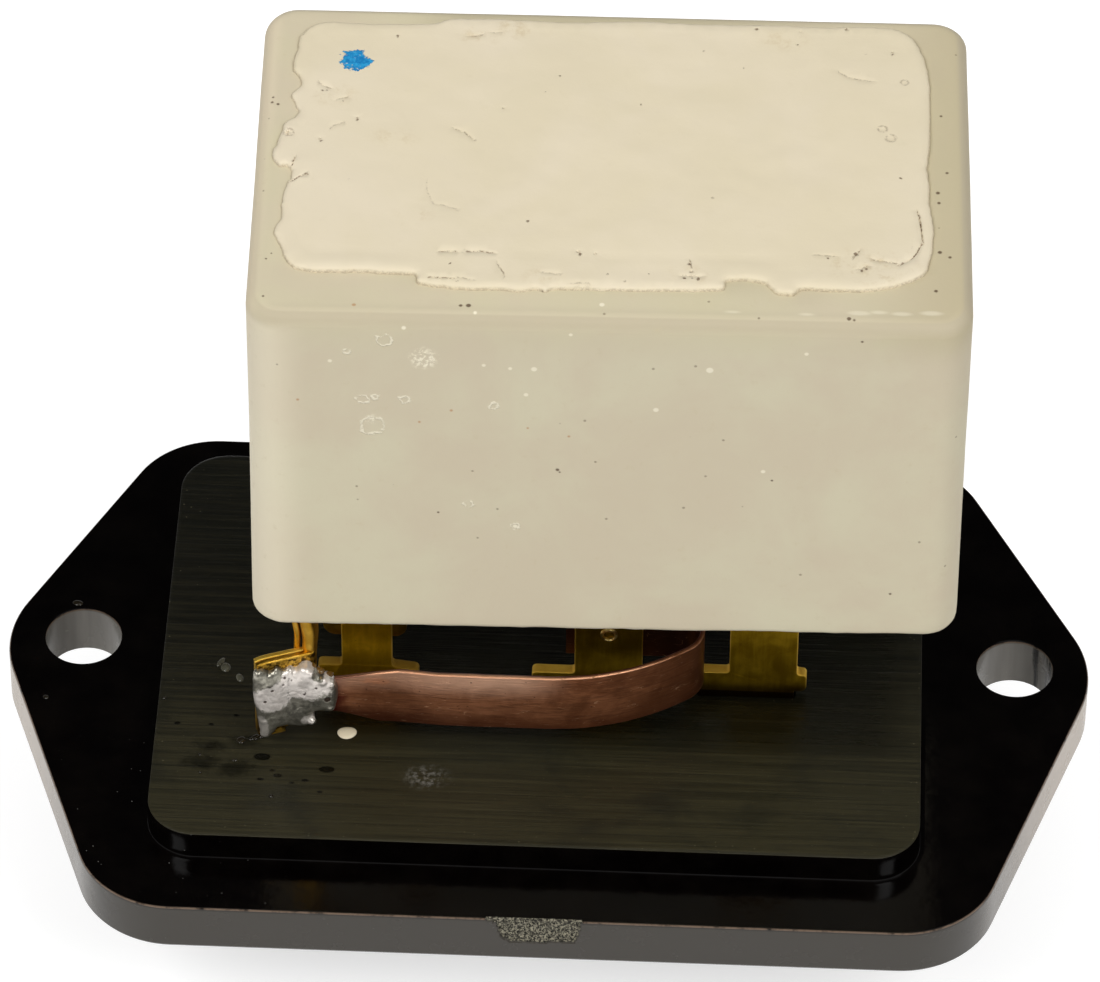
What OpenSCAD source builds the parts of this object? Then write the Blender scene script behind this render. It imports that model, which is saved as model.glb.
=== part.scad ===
// Blower motor resistor: a moulded mounting plate carries three stamped terminals, a potted
// ceramic block that holds two wire-wound elements, and a soldered thermal fuse strip.
// The origin lies midway between the mounting holes, on the plate face that meets the duct.
// The block rises along +Z into the air stream and the connector socket opens along -Z.

/* [Mounting plate] */
// Distance between the two mounting holes
hole_spacing = 62; // [60:0.5:66]
// Diameter of each mounting hole
hole_d = 5.06; // [4.4:0.02:5.6]
// Width of the chamfer round the top of each hole
hole_chamfer = 0.15; // [0.1:0.05:0.4]
// Plate thickness
plate_t = 3.8; // [3:0.1:5]
// Distance from a hole's centre to the plate's sharp end, before it is rounded
tip_reach = 5.6; // [5:0.1:7]
// Distance from the hole line to the front edge
plate_front = 23.9; // [22.5:0.1:26]
// Distance from the hole line to the back edge
plate_back = 19; // [17.5:0.1:22]
// How far each front corner lies inside the sharp end
front_inset = 8.5; // [7:0.1:9.5]
// How far each back corner lies inside the sharp end
back_inset = 9.85; // [8:0.05:10.5]
// Radius of the two ends
tip_r = 8; // [5:0.5:9]
// Radius of the front corners
front_r = 6.5; // [4:0.5:9]
// Radius of the back corners
back_r = 6; // [3:0.5:8]
// Width of the rough gate mark along the front edge
gate_w = 6.2; // [4:0.1:8]
// Height of the gate mark below the top face
gate_h = 2.2; // [1:0.1:2.8]
// Depth of the gate mark
gate_depth = 0.3; // [0.1:0.05:0.6]

/* [Raised pad] */
// Pad length
pad_l = 50.2; // [48:0.1:52]
// Distance from the hole line to the pad's front edge
pad_front = 19.4; // [18:0.1:21]
// Distance from the hole line to the pad's back edge
pad_back = 15.5; // [13:0.1:17]
// Pad height above the plate
pad_h = 2.1; // [1.2:0.1:3]
// Radius of the pad's corners
pad_r = 3.2; // [2:0.1:5]
// Sideways offset of the pad from the middle of the plate
pad_shift = -0.3; // [-0.5:0.1:0.5]

/* [Connector socket] */
// Depth of the socket below the plate
socket_depth = 11.5; // [10:0.1:13]
// Width of the socket across the blades
socket_w = 9.4; // [8.8:0.1:10]
// Room between the outer blades and the socket's ends
socket_end = 2.2; // [1.6:0.1:3]
// Wall of the shroud round the socket
shroud_wall = 1.7; // [1.2:0.1:2.2]
// Radius of the socket's inner corners
socket_r = 1.6; // [0.8:0.1:2.2]
// Length of the latch ramp along the shroud
latch_l = 7; // [4:0.5:10]
// How far the latch ramp stands proud of the shroud
latch_out = 1.3; // [0.8:0.1:1.6]
// Height of the latch ramp
latch_h = 4; // [3:0.1:5]
// Width and depth of each of the two polarising ribs
key_rib = 0.9; // [0.6:0.1:1.1]

/* [Terminals] */
// Thickness of the terminal sheet
sheet_t = 0.8; // [0.6:0.05:0.9]
// Distance of the terminals' front faces in front of the hole line
row_front = 5.3; // [5:0.1:5.8]
// Width of each blade
blade_w = 6.3; // [5.8:0.1:6.5]
// How far each blade reaches below the plate
blade_len = 8.5; // [7:0.1:9.5]
// Clearance round each blade in its slot
slot_gap = 0.05; // [0.03:0.01:0.1]
// Height of the foot that stands on the pad
foot_h = 1.55; // [1:0.05:2]
// Place of the left terminal along the row
left_x = -11.65; // [-12.5:0.05:-11]
// Place of the middle terminal along the row
middle_x = 3.05; // [2.6:0.05:3.5]
// Place of the right terminal along the row
right_x = 13.2; // [12.8:0.05:14]
// Foot width of the left terminal
left_foot_w = 6.65; // [6.6:0.05:7.4]
// Stem width of the left terminal
left_stem_w = 3.3; // [2.6:0.1:4]
// Foot width of the middle and right terminals
wide_foot_w = 7.9; // [7.4:0.1:8.4]
// Stem width of the middle and right terminals
wide_stem_w = 4.45; // [4:0.05:5]
// Distance from a wide foot's right end to its stem
wide_ear = 0.65; // [0.3:0.05:1]
// Forward bend of the left terminal's right ear, in degrees
ear_bend = 8; // [0:1:15]
// How far the right terminal stands proud of its seat
right_lift = 0.55; // [0:0.05:0.8]
// How far the joined stems reach above the pad
stem_h = 9.4; // [8.5:0.1:11]

/* [Fuse strip] */
// Thickness of the copper strip
strip_t = 0.3; // [0.2:0.05:0.4]
// Width of the copper strip
strip_w = 4.8; // [4:0.1:5.2]
// Height of the strip's lower edge above the pad
strip_lift = 2.55; // [2.3:0.05:3.4]
// Distance between the strip's two legs
loop_gap = 6.9; // [6:0.1:8]
// Radius of the tight bend at the loop's end
bend_r = 2.1; // [1.6:0.1:2.4]
// Angle of the long curve between the front leg and the tight bend
sweep_angle = 37.5; // [34:0.5:42]
// Where the front leg starts to curve, along the row
sweep_x = 0.2; // [-1:0.1:0.8]
// How far the strip's end shows beside the middle terminal's stem
strip_tail = 0.6; // [0.3:0.1:1.2]
// Place of the knee in the front leg, along the row
knee_x = -6.7; // [-8:0.1:-5]
// Length of the tapered tongue beyond the full width
tongue_l = 7; // [6.6:0.1:7.4]
// How much narrower the tongue is at its top
tongue_top_cut = 0.9; // [0.4:0.1:1.2]
// How much narrower the tongue is at its bottom
tongue_bottom_cut = 0.8; // [0.4:0.1:1.2]
// Diameter of the rivet's shank
rivet_d = 0.9; // [0.7:0.05:1.1]
// Diameter of the rivet's front head
rivet_head_d = 1.2; // [1.15:0.05:1.5]
// Diameter of the rivet's rear head
rivet_set_d = 2; // [1.6:0.1:2.4]

/* [Fuse lead] */
// Thickness of the fuse lead's sheet
lead_t = 0.5; // [0.4:0.05:0.6]
// Length of the tab that the strip is soldered to
tab_l = 3.6; // [3.2:0.1:4]
// Height of the tab
tab_h = 7.2; // [6.4:0.1:7.4]
// How far the tab's lower edge clears the pad
tab_lift = 1.05; // [0.6:0.05:1.5]
// Angle between the tab and the row, in degrees
tab_angle = 20; // [14:1:24]
// Width of the riser that goes up into the block
riser_w = 3.4; // [2.6:0.1:3.8]
// Thickness of the riser's folded leaf
fold_t = 0.9; // [0.7:0.05:1]
// Sideways lean of the riser just above the tab
riser_lean = 0.65; // [0.3:0.05:0.8]

/* [Ceramic block] */
// Case length
case_l = 44.75; // [43.5:0.05:46]
// Case width
case_w = 28.7; // [27.5:0.1:30]
// Case height
case_h = 27.1; // [25:0.1:30]
// Wall of the case at its ends and back
case_wall = 3; // [2.4:0.1:3.1]
// Wall of the case in front
front_wall = 4.4; // [3.2:0.1:5]
// Floor of the case
case_floor = 2.8; // [2:0.1:3.2]
// Radius of the case's upright corners
case_r = 2.2; // [1.6:0.1:3.4]
// Radius of the case's top edge
rim_r = 1; // [0.6:0.1:1.4]
// Radius of the case's bottom edge
sole_r = 0.5; // [0.3:0.1:1]
// Gap between the pad and the case
case_lift = 16.6; // [15:0.1:19]
// Place of the case's middle along the row
case_x = 3.75; // [3.4:0.05:4.1]
// Place of the case's middle across the row
case_y = -1.62; // [-2.1:0.01:-1.1]
// Turn of the case on its leads, in degrees
case_turn = 1.2; // [0:0.1:1.5]
// Height of the cement above the rim
cement_proud = 0.4; // [0.1:0.05:0.5]
// How far the cement laps over the rim at the back
cement_lap = 1.7; // [0.8:0.1:1.9]
// How far the cement laps over the rim in front
front_lap = 1.65; // [0.8:0.05:2.2]

/* [Resistance elements] */
// Diameter of each ceramic core
core_d = 4.2; // [3.6:0.1:4.4]
// Diameter of the resistance wire
wire_d = 0.5; // [0.3:0.05:0.55]
// Distance from one turn to the next
wire_pitch = 0.9; // [0.7:0.05:1.4]
// Length of each end cap
cap_l = 4.6; // [4:0.1:5]
// Wall of each end cap
cap_wall = 0.4; // [0.3:0.05:0.5]
// Room between the fuse lead and the case's left wall
end_room = 0.4; // [0.3:0.05:0.7]
// Distance from an element's middle to the leads it is welded to
weld_reach = 2.9; // [2.85:0.05:3.2]
// Height of the front element above the case floor
front_rise = 6.5; // [5.5:0.1:7.5]
// Height of the rear element above the front one
rear_rise = 9; // [7:0.1:10]
// Inset of the rear element's left end from the front element's left end
rear_inset = 3.5; // [3:0.1:4]

/* [Hidden] */
$fn = 48;

// Blade tips, feet and the steps between them
blade_taper = 1.3;
blade_tip_cut = 0.9;
foot_r = 0.3;
stem_root = 0.2;
ear_bend_root = 0.2;
middle_over = 0.6;

// Places of the latch ramp and of the polarising ribs on the shroud
latch_rise = 1.5;
latch_land = 1;
rib_left = 3.5;
rib_right = 6;
rib_rise = 1;

// Clearances between pieces that fit in or round each other
cement_gap = 0.05;
pot_gap = 0.05;
rivet_fit = 0.02;
core_fit = 0.02;
cut = 1;

// Plate outline
tip_x = hole_spacing / 2 + tip_reach;
plate_points = [
    [-tip_x, 0], [-tip_x + front_inset, -plate_front], [tip_x - front_inset, -plate_front],
    [tip_x, 0], [tip_x - back_inset, plate_back], [-tip_x + back_inset, plate_back]];
plate_radii = [tip_r, front_r, front_r, tip_r, back_r, back_r];

// The terminals stand in one plane, with the leads and the strip's rear leg against its back
row_y = -row_front;
row_back = row_y + sheet_t;
lead_back = row_back + lead_t;
stem_top = pad_h + stem_h;

// The socket is centred on the outer blades
socket_x0 = left_x - blade_w / 2 - socket_end;
socket_x1 = right_x + blade_w / 2 + socket_end;
socket_x = (socket_x0 + socket_x1) / 2;
socket_l = socket_x1 - socket_x0;
socket_y = row_y + sheet_t / 2;
rim_z = -plate_t - socket_depth;

// Wide stems are placed from the right end of their feet
function wide_stem_x(x) = x + wide_foot_w / 2 - wide_ear - wide_stem_w / 2;
middle_stem_x = wide_stem_x(middle_x);
right_stem_x = wide_stem_x(right_x);

// Strip: rear leg, tight bend, long curve, front leg and tongue, all along its middle line
strip_z = pad_h + strip_lift;
strip_back_y = row_back + strip_t / 2;
strip_front_y = strip_back_y - loop_gap;
sweep_r = (loop_gap - bend_r * (1 + cos(sweep_angle))) / (1 - cos(sweep_angle));
bend_x = sweep_x + (sweep_r - bend_r) * sin(sweep_angle);
tail_x = middle_stem_x - wide_stem_w / 2 - strip_tail;
tongue_x = knee_x - 2.6;
tongue_end = tongue_x - tongue_l;
tongue_y = strip_front_y + 0.2;
tongue_top_run = 4.4;
tongue_bottom_start = 1.2;
tongue_bottom_run = 2.8;
rivet_z = strip_z + strip_w / 2 + 0.4;
rivet_head_t = 0.2;
rivet_set_t = 0.35;

// The tab lies behind the tongue's end, face to face with it
tab_z = pad_h + tab_lift;
tab_past = 1.1;
leaf_t = 0.3;
leaf_gap = 0.15;
leaf_drop = 0.6;
leaf_root = 0.4;
tab_film = 0.03;
tab_right = [tongue_end + tab_past, tongue_y + strip_t / 2 + tab_film
    + lead_t / 2 / cos(tab_angle) + tab_past * tan(tab_angle)];
riser_front = tab_right[1] - 0.35;

// Case and what is in it
case_z = pad_h + case_lift;
floor_z = case_z + case_floor;
case_top = case_z + case_h;
cavity_l = case_l - 2 * case_wall;
cavity_w = case_w - case_wall - front_wall;
cavity_y = (front_wall - case_wall) / 2;
cavity_r = 1.6;
left_lap = 0.75;
right_lap = 0.3;
front_z = floor_z + front_rise;
rear_z = front_z + rear_rise;
front_y = row_back - weld_reach;
rear_y = lead_back + weld_reach;
core_r = core_d / 2;
wire_r = wire_d / 2;
cap_r = core_r + core_fit + cap_wall;
riser_top_x = case_x - cavity_l / 2 + end_room + fold_t / 2;
front_x0 = riser_top_x + fold_t / 2;
rear_x0 = front_x0 + rear_inset;
element_x1 = right_stem_x + cap_l / 2;
weld_pad = 3;
left_neck_w = 2.4;
left_neck_x = rear_x0 + cap_l / 2;
left_tab_w = 5.5;
left_tab_off = 0.25;
shoulder_drop = 3;
lead_corner = 0.6;
lead_foot_z = pad_h + 3.6;
weld_over = 1.8;

function unit(v) = v / norm(v);

// A convex outline whose corners are true arcs. On slanted sides each arc's circle is drawn a hair
// smaller by ease, so that it crosses the outline cleanly where it would only graze it
module rounded_outline(points, radii, ease = 0) {
    n = len(points);
    before = [for (i = [0 : n - 1]) unit(points[(i + n - 1) % n] - points[i])];
    after = [for (i = [0 : n - 1]) unit(points[(i + 1) % n] - points[i])];
    half = [for (i = [0 : n - 1]) acos(before[i] * after[i]) / 2];
    polygon([for (i = [0 : n - 1]) for (side = [before[i], after[i]])
        points[i] + side * radii[i] / tan(half[i])]);
    for (i = [0 : n - 1])
        translate(points[i] + unit(before[i] + after[i]) * radii[i] / sin(half[i]))
            circle(radii[i] - ease);
}

module rounded_rect(l, w, r) {
    rounded_outline([[-l / 2, -w / 2], [l / 2, -w / 2], [l / 2, w / 2], [-l / 2, w / 2]], [r, r, r, r]);
}

// A flat plate whose outline is drawn in x and z, from y = front towards the back
module upright(front, t) {
    translate([0, front + t, 0]) rotate([90, 0, 0]) linear_extrude(height = t) children();
}

// Stretch of a ring, from one angle to another
module ring_sector(r, t, from, to) {
    reach = (r + t) / cos((to - from) / 2) + t;
    intersection() {
        difference() {
            circle(r + t / 2, $fn = 96);
            circle(r - t / 2, $fn = 96);
        }
        polygon([[0, 0], reach * [cos(from), sin(from)],
            reach * [cos((from + to) / 2), sin((from + to) / 2)], reach * [cos(to), sin(to)]]);
    }
}

module screw_hole(x) {
    translate([x, 0, -plate_t - cut]) cylinder(h = plate_t + 2 * cut, d = hole_d);
    translate([x, 0, -hole_chamfer]) cylinder(h = hole_chamfer + 0.01, d1 = hole_d, d2 = hole_d + 2 * hole_chamfer);
}

module blade_slot(x) {
    translate([x - blade_w / 2 - slot_gap, row_y - slot_gap, -plate_t - cut])
        cube([blade_w + 2 * slot_gap, sheet_t + 2 * slot_gap, plate_t + pad_h + 2 * cut]);
}

module shroud() {
    translate([socket_x, socket_y, rim_z]) difference() {
        linear_extrude(height = socket_depth + 0.5)
            rounded_rect(socket_l + 2 * shroud_wall, socket_w + 2 * shroud_wall, socket_r + shroud_wall);
        translate([0, 0, -cut]) linear_extrude(height = socket_depth + cut)
            rounded_rect(socket_l, socket_w, socket_r);
    }
}

// Ramp that the plug's latch springs over, on the shroud's front wall
module latch_ramp() {
    wall_y = socket_y - socket_w / 2 - shroud_wall;
    bottom = rim_z + latch_rise;
    top = bottom + latch_h;
    translate([socket_x - latch_l / 2, 0, 0]) rotate([90, 0, 90]) linear_extrude(height = latch_l)
        polygon([[wall_y + shroud_wall / 2, bottom], [wall_y, bottom], [wall_y - latch_out, top - latch_land],
            [wall_y - latch_out, top], [wall_y + shroud_wall / 2, top]]);
}

// Ribs that keep a plug from going in the wrong way round
module key_ribs() {
    for (x = [socket_x0 + rib_left, socket_x1 - rib_right])
        translate([x, socket_y + socket_w / 2 - key_rib, rim_z + rib_rise])
            cube([key_rib, key_rib + shroud_wall / 2, socket_depth - rib_rise + plate_t / 2]);
}

module base_plate() {
    color([0.07, 0.07, 0.06]) difference() {
        union() {
            translate([0, 0, -plate_t]) linear_extrude(height = plate_t)
                rounded_outline(plate_points, plate_radii, 0.004);
            translate([pad_shift, (pad_back - pad_front) / 2, -0.5]) linear_extrude(height = pad_h + 0.5)
                rounded_rect(pad_l, pad_front + pad_back, pad_r);
            shroud();
            latch_ramp();
            key_ribs();
        }
        for (side = [-1, 1]) screw_hole(side * hole_spacing / 2);
        for (x = [left_x, middle_x, right_x]) blade_slot(x);
        upright(-plate_front - cut, gate_depth + cut)
            polygon([[-gate_w / 2, cut], [-gate_w / 2, 0], [-gate_w / 3, -gate_h * 0.6], [-gate_w / 4, -gate_h],
                [gate_w * 0.42, -gate_h], [gate_w / 2, 0], [gate_w / 2, cut]]);
    }
}

// Blade with a tapered tip, hanging from height z through the plate
module blade(x, z) {
    tip_z = z - pad_h - plate_t - blade_len;
    full_z = tip_z + blade_taper;
    intersection() {
        upright(row_y, sheet_t) polygon([
            [x - blade_w / 2, z], [x - blade_w / 2, full_z], [x - blade_w / 2 + blade_tip_cut, tip_z],
            [x + blade_w / 2 - blade_tip_cut, tip_z], [x + blade_w / 2, full_z], [x + blade_w / 2, z]]);
        translate([x - blade_w, 0, 0]) rotate([90, 0, 90]) linear_extrude(height = 2 * blade_w) polygon([
            [row_y, z], [row_y, full_z], [row_y + sheet_t * 0.3, tip_z],
            [row_y + sheet_t * 0.7, tip_z], [row_back, full_z], [row_back, z]]);
    }
}

// Foot of a terminal, with softened upper corners
module foot(x0, x1, z) {
    upright(row_y, sheet_t) translate([(x0 + x1) / 2, z + foot_h / 2])
        rounded_rect(x1 - x0, foot_h, foot_r);
}

module stem(x, w, z, top) {
    upright(row_y, sheet_t) translate([x - w / 2, z]) square([w, top - z]);
}

module rivet_hole() {
    translate([middle_stem_x, row_y - cut, rivet_z]) rotate([-90, 0, 0])
        cylinder(h = sheet_t + strip_t + 2 * cut, d = rivet_d + 2 * rivet_fit, $fn = 32);
}

module left_terminal() {
    foot_x0 = left_x - left_foot_w / 2;
    stem_x1 = left_x + left_stem_w / 2 - ear_bend_root / 2;
    color([0.62, 0.5, 0.16]) union() {
        blade(left_x, pad_h);
        foot(foot_x0, stem_x1, pad_h);
        stem(stem_x1 - left_stem_w / 2, left_stem_w, pad_h, stem_top);
        translate([stem_x1 - ear_bend_root, row_y, pad_h]) rotate([0, 0, -ear_bend])
            cube([foot_x0 + left_foot_w - stem_x1 + ear_bend_root, sheet_t, foot_h]);
    }
}

module wide_terminal(x, lift, top) {
    z = pad_h + lift;
    blade(x, z + stem_root);
    foot(x - wide_foot_w / 2, x + wide_foot_w / 2, z);
    stem(wide_stem_x(x), wide_stem_w, z + foot_r, top);
}

module middle_terminal() {
    color([0.62, 0.5, 0.16]) difference() {
        wide_terminal(middle_x, 0, strip_z + strip_w + middle_over);
        rivet_hole();
    }
}

module right_terminal() {
    color([0.62, 0.5, 0.16]) wide_terminal(right_x, right_lift, stem_top);
}

// The strip seen from above, as one folded line of even thickness
module strip_line() {
    t = strip_t;
    translate([tail_x, strip_back_y - t / 2]) square([bend_x - tail_x, t]);
    translate([bend_x, strip_back_y - bend_r]) ring_sector(bend_r, t, -90 + sweep_angle, 90);
    translate([sweep_x, strip_front_y + sweep_r]) ring_sector(sweep_r, t, -90, -90 + sweep_angle);
    translate([knee_x, strip_front_y - t / 2]) square([sweep_x - knee_x, t]);
    polygon([[knee_x, strip_front_y - t / 2], [knee_x, strip_front_y + t / 2],
        [tongue_x, tongue_y + t / 2], [tongue_end, tongue_y + t / 2],
        [tongue_end, tongue_y - t / 2], [tongue_x, tongue_y - t / 2]]);
}

// What the taper takes off the tongue, above and below
module tongue_cuts() {
    top = strip_z + strip_w;
    start = tongue_x - tongue_bottom_start;
    upright(strip_front_y - cut, 2 * cut) {
        polygon([[tongue_x, top], [tongue_x, top + cut], [tongue_end - cut, top + cut],
            [tongue_end - cut, top - tongue_top_cut], [tongue_x - tongue_top_run, top - tongue_top_cut]]);
        polygon([[start, strip_z], [start, strip_z - cut], [tongue_end - cut, strip_z - cut],
            [tongue_end - cut, strip_z + tongue_bottom_cut],
            [start - tongue_bottom_run, strip_z + tongue_bottom_cut]]);
    }
}

module fuse_strip() {
    color([0.62, 0.33, 0.24]) difference() {
        translate([0, 0, strip_z]) linear_extrude(height = strip_w) strip_line();
        tongue_cuts();
        rivet_hole();
    }
}

module fuse_rivet() {
    shank = sheet_t + strip_t;
    color([0.7, 0.6, 0.3]) translate([middle_stem_x, row_y, rivet_z]) rotate([-90, 0, 0]) difference() {
        union() {
            translate([0, 0, -rivet_head_t]) cylinder(h = rivet_head_t, d = rivet_head_d, $fn = 32);
            cylinder(h = shank, d = rivet_d, $fn = 32);
            translate([0, 0, shank]) cylinder(h = rivet_set_t, d = rivet_set_d, $fn = 32);
        }
        translate([0, 0, -cut]) cylinder(h = cut + rivet_head_t, d = rivet_head_d / 2, $fn = 32);
    }
}

module tab() {
    translate([tab_right[0], tab_right[1], tab_z]) rotate([0, 0, 180 + tab_angle])
        translate([0, -lead_t / 2, 0]) cube([tab_l, lead_t, tab_h]);
}

// The riser's middle line in x and z, from the tab up into the block
riser_line = [
    [tab_right[0] + 0.05, tab_z + tab_h - 1.2], [tab_right[0], tab_z + tab_h],
    [tab_right[0] - riser_lean, tab_z + tab_h + 2.2], [tab_right[0] - riser_lean, tab_z + tab_h + 3.6],
    [riser_top_x, case_z - 1.2], [riser_top_x, front_z + 1.5]];

module riser(grow) {
    upright(riser_front - grow, riser_w + 2 * grow) {
        half = fold_t / 2 + grow;
        polygon(concat([for (p = riser_line) p - [half, 0]],
            [for (i = [len(riser_line) - 1 : -1 : 0]) riser_line[i] + [half, 0]]));
    }
}

// Thin leaf that is folded back beside the riser, joined to it along its rear edge
module fold_leaf() {
    near = fold_t / 2 + leaf_gap;
    line = [riser_line[1] - [0, leaf_drop], riser_line[2], riser_line[3]];
    upright(riser_front, riser_w) polygon(concat([for (p = line) p - [near + leaf_t, 0]],
        [for (i = [2 : -1 : 0]) line[i] - [near, 0]]));
    upright(riser_front + riser_w - leaf_root, leaf_root)
        polygon(concat([for (p = line) p - [near + leaf_t / 2, 0]], [for (i = [2 : -1 : 0]) line[i]]));
}

module fuse_lead() {
    color([0.72, 0.58, 0.2]) union() {
        tab();
        translate([tab_right[0] + 0.05, tab_right[1], tab_z]) cylinder(h = tab_h, d = fold_t, $fn = 32);
        riser(0);
        fold_leaf();
    }
}

// Beads of solder that run into each other: x, y and radius in lengths of the tab, measured from
// the tongue's end, then the bottom and the top in heights of the tab
solder_beads = [
    [-0.47, -0.08, 0.205, 0.03, 0.95], [-0.33, -0.13, 0.235, 0.08, 0.96], [-0.12, -0.12, 0.25, 0.08, 0.96],
    [0.08, -0.08, 0.23, 0.13, 0.95], [0.25, -0.03, 0.21, 0.16, 0.93], [0.42, -0.02, 0.19, 0.28, 0.82],
    [0.6, -0.02, 0.17, 0.31, 0.76], [-0.46, -0.05, 0.13, -0.05, 0.5], [-0.2, -0.2, 0.26, 0.3, 0.75]];

module solder_bead(r, h) {
    rotate_extrude($fn = 32) intersection() {
        rounded_outline([[-r, 0], [r, 0], [r, h], [-r, h]], [r, r, r, r] * 0.98);
        square([r + cut, h]);
    }
}

module fuse_solder() {
    color([0.72, 0.73, 0.74]) difference() {
        union() for (b = solder_beads)
            translate([tongue_end + b[0] * tab_l, tongue_y + b[1] * tab_l, tab_z + b[3] * tab_h])
                solder_bead(b[2] * tab_l, (b[4] - b[3]) * tab_h);
        fuse_lead();
        fuse_strip();
    }
}

module case_place() {
    translate([case_x, case_y, 0]) rotate([0, 0, case_turn]) children();
}

// Cross-section of the case, as wide as asked, with the rounded top and bottom edges
module case_section(w) {
    rounded_outline([[-w / 2, case_z], [w / 2, case_z], [w / 2, case_top], [-w / 2, case_top]],
        [sole_r, sole_r, rim_r, rim_r]);
}

// Outside of the case: two crossed bars and a turned post at each corner
module soft_box() {
    bar_l = case_l - 2 * case_r;
    bar_w = case_w - 2 * case_r;
    translate([-bar_l / 2, 0, 0]) rotate([90, 0, 90]) linear_extrude(height = bar_l) case_section(case_w);
    translate([0, bar_w / 2, 0]) rotate([90, 0, 0]) linear_extrude(height = bar_w) case_section(case_l);
    for (sx = [-1, 1]) for (sy = [-1, 1]) translate([sx * bar_l / 2, sy * bar_w / 2, 0])
        rotate_extrude() intersection() {
            case_section(2 * case_r);
            translate([0, case_z - cut]) square([case_r + cut, case_h + 2 * cut]);
        }
}

module ceramic_case() {
    color([0.78, 0.76, 0.68]) difference() {
        case_place() soft_box();
        case_place() translate([0, cavity_y, floor_z]) linear_extrude(height = case_h)
            rounded_rect(cavity_l, cavity_w, cavity_r);
        riser(pot_gap);
        lead_strip(left_neck_x, left_neck_w, case_z - cut, floor_z + cut, pot_gap);
        lead_strip(right_stem_x, wide_stem_w - 0.1, case_z - cut, floor_z + cut, pot_gap);
    }
}

// The uneven edge of the cement, drawn about the case's middle: it slants along the front, where a
// broad tongue and a drop lap further over the rim, and it has three drops on the left
module cement_edge() {
    left = -cavity_l / 2 - left_lap;
    right = cavity_l / 2 + right_lap;
    front = cavity_y - cavity_w / 2;
    back = cavity_y + cavity_w / 2 + cement_lap;
    lap_x = [-0.53, 0.32] * case_l / 2;
    lap_deep = front_lap + 1;
    rounded_outline([[left, front - 0.05], [right, front - front_lap * 0.75], [right, back], [left, back]],
        [1.6, 2.4, 2.4, 1.8], 0.004);
    translate([(lap_x[0] + lap_x[1]) / 2, front - front_lap + lap_deep / 2])
        rounded_rect(lap_x[1] - lap_x[0], lap_deep, 0.5);
    for (drop = [[left + 0.35, 0.85, 1.2], [left + 0.6, 2.85, 1.3], [left + 0.5, -6.55, 0.9],
        [lap_x[1] + 3.6, front - front_lap + 0.6, 0.7]])
        translate([drop[0], drop[1]]) circle(drop[2]);
}

module cement_fill() {
    color([0.88, 0.84, 0.74]) difference() {
        case_place() union() {
            translate([0, cavity_y, floor_z]) linear_extrude(height = case_top - floor_z + cement_proud / 2)
                rounded_rect(cavity_l - 2 * cement_gap, cavity_w - 2 * cement_gap, cavity_r - cement_gap);
            translate([0, 0, case_top]) linear_extrude(height = cement_proud) cement_edge();
        }
        riser(pot_gap);
        left_lead_shape(pot_gap);
        right_lead_shape(pot_gap);
        element(front_x0, front_y, front_z, pot_gap);
        element(rear_x0, rear_y, rear_z, pot_gap);
        cap_pad(element_x1 - cap_l / 2, front_y, front_z, row_back, pot_gap);
        cap_pad(element_x1 - cap_l / 2, rear_y, rear_z, lead_back, pot_gap);
        cap_pad(rear_x0 + cap_l / 2, rear_y, rear_z, lead_back, pot_gap);
    }
}

// Flat lead behind the terminals' plane, between two heights
module lead_strip(x, w, z0, z1, grow) {
    translate([x - w / 2 - grow, row_back - grow, z0 - grow])
        cube([w + 2 * grow, lead_t + 2 * grow, z1 - z0 + 2 * grow]);
}

// The left lead is wide where it is welded and narrow where it enters the case
module left_lead_shape(grow) {
    shoulder = case_z - shoulder_drop;
    tab_x = left_x - left_tab_off;
    x0 = min(tab_x - left_tab_w / 2, left_neck_x - left_neck_w / 2);
    x1 = max(tab_x + left_tab_w / 2, left_neck_x + left_neck_w / 2);
    upright(row_back - grow, lead_t + 2 * grow) {
        translate([tab_x, (lead_foot_z + shoulder) / 2])
            rounded_rect(left_tab_w + 2 * grow, shoulder - lead_foot_z + 2 * grow, lead_corner);
        translate([(x0 + x1) / 2, shoulder - left_neck_w / 2])
            rounded_rect(x1 - x0 + 2 * grow, left_neck_w + 2 * grow, lead_corner);
    }
    lead_strip(left_neck_x, left_neck_w, shoulder - lead_corner, rear_z + weld_over, grow);
}

module left_lead() {
    color([0.6, 0.48, 0.16]) left_lead_shape(0);
}

module right_lead_shape(grow) {
    lead_strip(right_stem_x, wide_stem_w - 0.1, lead_foot_z + 1, rear_z + weld_over, grow);
}

module right_lead() {
    color([0.6, 0.48, 0.16]) right_lead_shape(0);
}

// Round bar along x, the plain outline of a whole element
module element(x0, y, z, grow) {
    translate([x0 - grow, y, z]) rotate([0, 90, 0])
        cylinder(h = element_x1 - x0 + 2 * grow, r = max(cap_r, core_r + core_fit + wire_d) + grow);
}

module core(x0, y, z) {
    color([0.9, 0.89, 0.85]) translate([x0 + cap_wall, y, z]) rotate([0, 90, 0])
        cylinder(h = element_x1 - x0 - 2 * cap_wall, d = core_d);
}

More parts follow.
